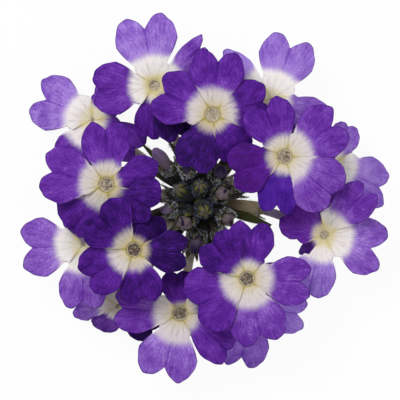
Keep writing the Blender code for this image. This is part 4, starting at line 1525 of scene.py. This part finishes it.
COROLLAS = [
    Corolla("corolla_01", (-9.0, 20.0, 11.0), 0.12, 10.8, 6.2, 0.1, (
        Lobe(100.5, 13.1, 10.4, 11.2, 0.2, -1.2, 0.85, 5.6),
        Lobe(184, 11.2, 10.1, 9.6, 0.2, -0.6, 0.48, 4.6),
        Lobe(262, 9.7, 9.1, 5.6, -0.8, -1.8, 0.33, 2.9),
        Lobe(296, 10.6, 9.8, 7.0, 0.4, 0.2, 0.02, 2.1),
        Lobe(33, 12.0, 10.4, 5.0, -0.2, -1.0, 0.65, 5.2, sweep=1.6, skew=0.8)),
        open=0.75, pit=0.0, eye_white_and_painted_light=1.05),
    Corolla("corolla_02", (-20.3, 13.9, 6.0), 0.2, 11.0, 3.4, 0.0, (
        Lobe(156, 11.8, 9.4, 10.4, -0.9, -6.6, 0.83, 5.2, lies=True),
        Lobe(238, 9.6, 8.7, 7.2, 0.3, -0.6, 0.45, 5.3),
        Lobe(281, 8.6, 7.8, 6.4, -0.9, -1.8, 0.31, 5.5),
        Lobe(322, 10.4, 9.2, 7.4, 0.3, -0.6, 0.52, 2.5, sweep=0.8),
        Lobe(52, 9.6, 8.6, 7.2, -0.2, -0.8, 0.56, 2.8)), open=0.22, eye_white_and_painted_light=1.05),
    Corolla("corolla_03", (1.35, 14.7, 16.2), 0.06, 6.2, 8.6, 0.35, (
        Lobe(84, 11.7, 9.5, 9.8, 0.5, -0.3, 0.42, 4.8),
        Lobe(156, 11.1, 9.2, 10.0, 0.3, -0.4, 0.41, 4.6),
        Lobe(249, 10.6, 9.8, 8.4, 0.2, -0.6, 0.12, 3.2),
        Lobe(302, 9.0, 8.2, 8.2, 0.2, -0.9, 0.22, 3.1),
        Lobe(14, 10.5, 9.2, 9.4, 0.0, -0.9, 0.34, 4.3)), pit=0.3),
    Corolla("corolla_04", (-17.6, 2.2, 15.6), 0.06, 6.2, 8.6, 0.35, (
        Lobe(91, 11.4, 9.7, 8.8, 0.4, -0.4, 0.45, 4.1),
        Lobe(167, 12.0, 10.1, 10.4, 0.3, -0.8, 0.52, 4.9),
        Lobe(233, 10.5, 9.9, 7.4, -0.8, -2.2, 0.34, 4.7),
        Lobe(329, 9.9, 8.8, 7.8, 0.5, 0.3, 0.15, 2.9, sweep=0.6),
        Lobe(8, 9.8, 8.7, 8.8, -0.7, -1.2, 0.32, 2.4)), pit=0.4),
    Corolla("corolla_05", (14.2, 7.2, 17.2), 0.05, 6.2, 8.8, 0.35, (
        Lobe(112.5, 10.8, 8.7, 9.4, 0.6, 0.0, 0.41, 3.8),
        Lobe(33, 12.1, 9.9, 10.0, 0.4, -0.7, 0.57, 5.1),
        Lobe(321, 11.7, 10.7, 10.8, 0.3, -0.9, 0.65, 4.9),
        Lobe(261, 10.4, 8.8, 7.6, 0.3, -0.4, 0.31, 3.1, hue=Hue.BLUE),
        Lobe(197, 10.2, 9.2, 9.2, 0.4, -0.2, 0.15, 3.2, hue=Hue.MAGENTA)), pit=0.55, eye_white_and_painted_light=0.15),
    Corolla("corolla_06", (11.9, 17.3, 11.2), 0.12, 9.6, 6.4, 0.1, (
        Lobe(70, 12.4, 9.9, 10.2, 0.1, -1.4, 0.88, 5.6),
        Lobe(143.5, 12.5, 10.3, 7.0, 0.1, -0.8, 0.92, 6.3, sweep=-0.4),
        Lobe(334, 11.2, 10.8, 8.0, -0.1, -1.2, 0.76, 3.5),
        Lobe(205, 8.0, 7.2, 7.4, -0.4, -1.0, 0.09, 2.8),
        Lobe(294, 10.0, 7.2, 7.4, -0.4, -1.0, 0.67, 4.6)), open=0.22, eye_white_and_painted_light=1.35),
    Corolla("corolla_07", (22.9, 5.9, 6.2), 0.2, 7.4, 3.6, 0.0, (
        Lobe(335, 11.4, 9.6, 8.8, -1.0, -7.0, 0.87, 4.7, skew=-1.6, lies=True),
        Lobe(67, 7.9, 7.5, 6.0, 0.0, -0.8, 0.78, 2.8),
        Lobe(130, 8.6, 7.6, 8.0, -0.4, -1.2, 0.40, 2.8),
        Lobe(200, 8.4, 7.4, 8.0, -0.6, -1.6, 0.40, 2.8),
        Lobe(266, 9.0, 8.0, 8.0, -0.6, -1.6, 0.55, 2.8)), open=0.22, eye_white_and_painted_light=1.6),
    Corolla("corolla_08", (21.4, -6.8, 11.0), 0.1, 10.8, 6.2, 0.1, (
        Lobe(49, 11.7, 10.1, 7.4, 2.4, 3.6, 0.56, 4.5, cup=-0.6, sweep=-0.5),
        Lobe(344, 11.5, 8.7, 10.4, 0.0, -1.2, 0.75, 5.4),
        Lobe(254, 11.4, 10.4, 8.4, 0.0, -1.0, 0.87, 5.1),
        Lobe(150, 8.3, 7.5, 7.6, -0.2, -1.0, 0.49, 2.1, hue=Hue.MAGENTA),
        Lobe(226, 5.5, 5.2, 3.2, -2.0, -4.6, 0.36, 2.1)),
        open=0.6, pit=0.0, lilac=1.0, calyx_turn=7.5, warm=0.95, eye_white_and_painted_light=0.9),
    Corolla("corolla_09", (7.5, -14.6, 16.2), 0.06, 6.2, 8.6, 0.35, (
        Lobe(85, 10.4, 8.8, 8.6, -0.3, -1.0, 0.38, 3.3),
        Lobe(134, 9.8, 8.9, 9.0, 1.2, 0.9, 0.27, 2.8),
        Lobe(209, 11.2, 9.9, 12.4, 0.2, -0.6, 0.42, 4.7),
        Lobe(284, 12.1, 10.2, 10.2, 0.3, -0.8, 0.61, 5.4),
        Lobe(357, 11.6, 9.5, 8.8, 0.2, -0.6, 0.56, 4.7)), pit=0.85, eye_white_and_painted_light=0.1),
    Corolla("corolla_10", (-12.7, -9.4, 16.0), 0.06, 6.2, 8.6, 0.35, (
        Lobe(135, 9.9, 8.7, 10.4, 1.4, 1.7, 0.19, 3.7),
        Lobe(62, 7.4, 6.8, 8.4, -1.0, -2.4, 0.02, 2.3),
        Lobe(357, 9.7, 8.4, 7.6, 0.1, -0.6, 0.05, 2.7),
        Lobe(281, 9.8, 8.5, 7.6, 0.1, -0.6, 0.23, 3.8),
        Lobe(212, 10.4, 9.2, 9.2, 0.2, -0.7, 0.30, 4.6)), pit=1.1, warm=0.8),
    Corolla("corolla_11", (-4.5, -20.9, 10.8), 0.12, 9.4, 6.0, 0.1, (
        Lobe(254, 12.5, 10.1, 10.8, 0.2, -1.2, 0.76, 5.7),
        Lobe(175, 12.0, 10.3, 8.6, 0.0, -1.0, 0.55, 4.8),
        Lobe(94, 7.6, 7.1, 6.6, -0.2, -1.2, 0.34, 1.8),
        Lobe(330, 11.4, 10.6, 8.0, 0.2, -0.6, 0.47, 3.6, sweep=-1.8),
        Lobe(24, 8.8, 7.8, 8.0, -0.4, -1.0, 0.41, 3.2)), pit=0.75, eye_white_and_painted_light=0.1),
    Corolla("corolla_12", (-21.8, -8.5, 10.6), 0.12, 9.6, 6.0, 0.1, (
        Lobe(184, 11.5, 9.2, 10.6, 0.2, -1.0, 0.75, 5.2),
        Lobe(269, 11.8, 10.1, 8.8, 0.1, -1.2, 0.71, 5.3),
        Lobe(102, 10.4, 9.2, 6.8, 0.0, -0.6, 0.53, 1.8),
        Lobe(38, 8.6, 7.6, 7.4, -0.5, -1.2, 0.31, 2.8),
        Lobe(340, 6.2, 5.6, 6.0, -0.4, -0.8, 0.35, 2.8)), open=0.22, eye_white_and_painted_light=1.2),
    Corolla("corolla_13", (-15.7, -19.6, 5.8), 0.2, 10.6, 3.3, 0.0, (
        Lobe(183, 8.5, 7.7, 6.6, -1.2, -7.2, 0.74, 3.5, lies=True),
        Lobe(227, 5.5, 5.9, 6.2, -1.8, -4.0, 0.41, 2.4, sweep=-0.5),
        Lobe(324, 8.4, 7.6, 6.6, -0.6, -1.6, 0.09, 2.8),
        Lobe(36, 8.6, 7.6, 7.0, -0.6, -1.6, 0.15, 2.8),
        Lobe(112, 8.8, 7.8, 8.0, -0.6, -1.6, 0.31, 2.8)), open=0.22, eye_white_and_painted_light=1.6),
    Corolla("corolla_14", (9.0, -19.8, 5.8), 0.2, 10.8, 3.3, 0.0, (
        Lobe(256, 11.6, 9.7, 8.8, -0.9, -6.6, 0.77, 3.0, skew=-0.6, lies=True),
        Lobe(350, 9.6, 7.8, 7.8, -0.4, -1.8, 0.88, 2.8),
        Lobe(50, 8.6, 7.6, 8.0, -0.6, -1.6, 0.45, 2.8),
        Lobe(120, 8.6, 7.6, 8.0, -0.6, -1.6, 0.40, 3.0),
        Lobe(190, 8.8, 7.8, 8.4, -0.6, -1.6, 0.38, 2.8)), open=0.22, eye_white_and_painted_light=0.8),
]

BUDS = [
    Bud("bud_01", (-5.05, 1.45, 13.5), (-4.4, 1.1, 12.2), (-1.6, -0.2, 9.0), 0.95, Flesh.GREEN),
    Bud("bud_02", (-0.9, 2.15, 14.1), (-0.9, 1.7, 12.8), (-0.9, 0.2, 9.6), 0.9, Flesh.GREEN),
    Bud("bud_03", (3.5, 0.8, 14.8), (2.7, 0.4, 12.6), (0.0, -0.5, 9.2), 1.15, Flesh.PINK, 1.2, 300.0),
    Bud("bud_04", (0.1, -2.85, 14.3), (-0.2, -2.4, 13.0), (-0.8, -1.2, 9.4), 0.95, Flesh.GREEN),
    Bud("bud_05", (-4.0, -5.2, 14.0), (-3.3, -4.2, 12.2), (-1.7, -1.6, 8.6), 1.0, Flesh.PINK, 1.6, 120.0),
    Bud("bud_06", (4.6, -4.4, 13.9), (3.6, -3.6, 12.0), (0.1, -1.5, 8.6), 1.1, Flesh.PINK, 1.15, 250.0),
    Bud("bud_07", (3.2, 5.2, 14.0), (2.2, 3.8, 12.0), (-0.3, 0.4, 8.4), 1.2, Flesh.PURPLE, 1.15),
    Bud("bud_08", (-3.4, 5.9, 13.8), (-3.0, 4.4, 12.2), (-1.4, 0.5, 8.6), 0.9, Flesh.PURPLE),
    Bud("bud_09", (-9.2, 8.6, 12.4), (-6.2, 5.0, 9.2), (-1.8, 0.3, 6.6), 1.3, Flesh.LILAC),
    Bud("bud_10", (-7.9, -2.4, 13.4), (-5.9, -2.2, 11.9), (-1.8, -0.9, 8.6), 0.9, Flesh.LILAC),
    Bud("bud_11", (-1.7, -10.2, 11.6), (-1.4, -6.8, 9.8), (-1.0, -1.6, 7.2), 1.1, Flesh.PURPLE, 1.25),
]


def settle(piece: bpy.types.Object, slot: str, *nodes: str) -> None:
    """Let a piece ride on the head and stand for its nodes, and report it.

    Args:
        piece: The finished piece.
        slot: The material slot meant for it; not used.
        nodes: The modelled nodes that it replaces.
    """
    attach(piece, "root")
    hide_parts(*nodes)
    LOG.info("%s: %d faces, for %s", piece.name, len(piece.data.polygons), ", ".join(nodes))


def main() -> None:
    """Build the studio, then every piece of the head in order."""
    logging.basicConfig(level=logging.INFO, format="%(name)s: %(message)s")
    rng = np.random.default_rng(SEED)
    Studio().build()
    petal, tube = PetalFinish().material(), TubeFinish().material()
    # Painted shade: the calyx green's near-black blue stands for the shade among the cups.
    green = GreenFinish("calyx_green", srgb(7, 10, 16), srgb(108, 106, 50), srgb(146, 132, 104)).material()
    leaf = GreenFinish("leaf_green", srgb(20, 26, 14), srgb(58, 62, 24), srgb(84, 80, 48)).material()
    # Painted shade and light: one pale hair as a shaded blue-grey copy and a lit white copy.
    hair = HairFinish("shaded_calyx_hair", srgb(112, 122, 146)).material()
    lit = HairFinish("lit_rim_hair", srgb(226, 228, 234)).material()
    down = HairFinish("throat_hair", srgb(224, 214, 200)).material()
    fleshes = {
        Flesh.GREEN: BudFinish("bud_green", srgb(46, 46, 26), srgb(34, 26, 22), srgb(76, 66, 50)),
        Flesh.PINK: BudFinish("bud_pink", srgb(70, 62, 48), srgb(44, 26, 60), srgb(88, 75, 80)),
        Flesh.LILAC: BudFinish("bud_lilac", srgb(104, 92, 104), srgb(46, 28, 74), srgb(92, 72, 108)),
        Flesh.PURPLE: BudFinish("bud_purple", srgb(80, 68, 84), srgb(18, 9, 36), srgb(34, 20, 60)),
    }
    folded = {flesh: finish.material() for flesh, finish in fleshes.items()}
    for flower in COROLLAS:
        settle(flower.limb(petal), "petal", flower.name)
        settle(flower.tube(tube), "petal", flower.name)
    beards = hair_mesh("throat_hairs", [flower.beard(rng) for flower in COROLLAS], THROAT_HAIR, down)
    settle(beards, "petal", *[flower.name for flower in COROLLAS])
    for bud in BUDS:
        settle(bud.build(folded[bud.flesh]), "bud_" + bud.flesh.value, bud.name)
    for piece in Greenery(COROLLAS, BUDS).build(green, leaf, hair, lit, rng):
        settle(piece, "calyx_green", "stalk_and_calyces")


if __name__ == "__main__":
    main()
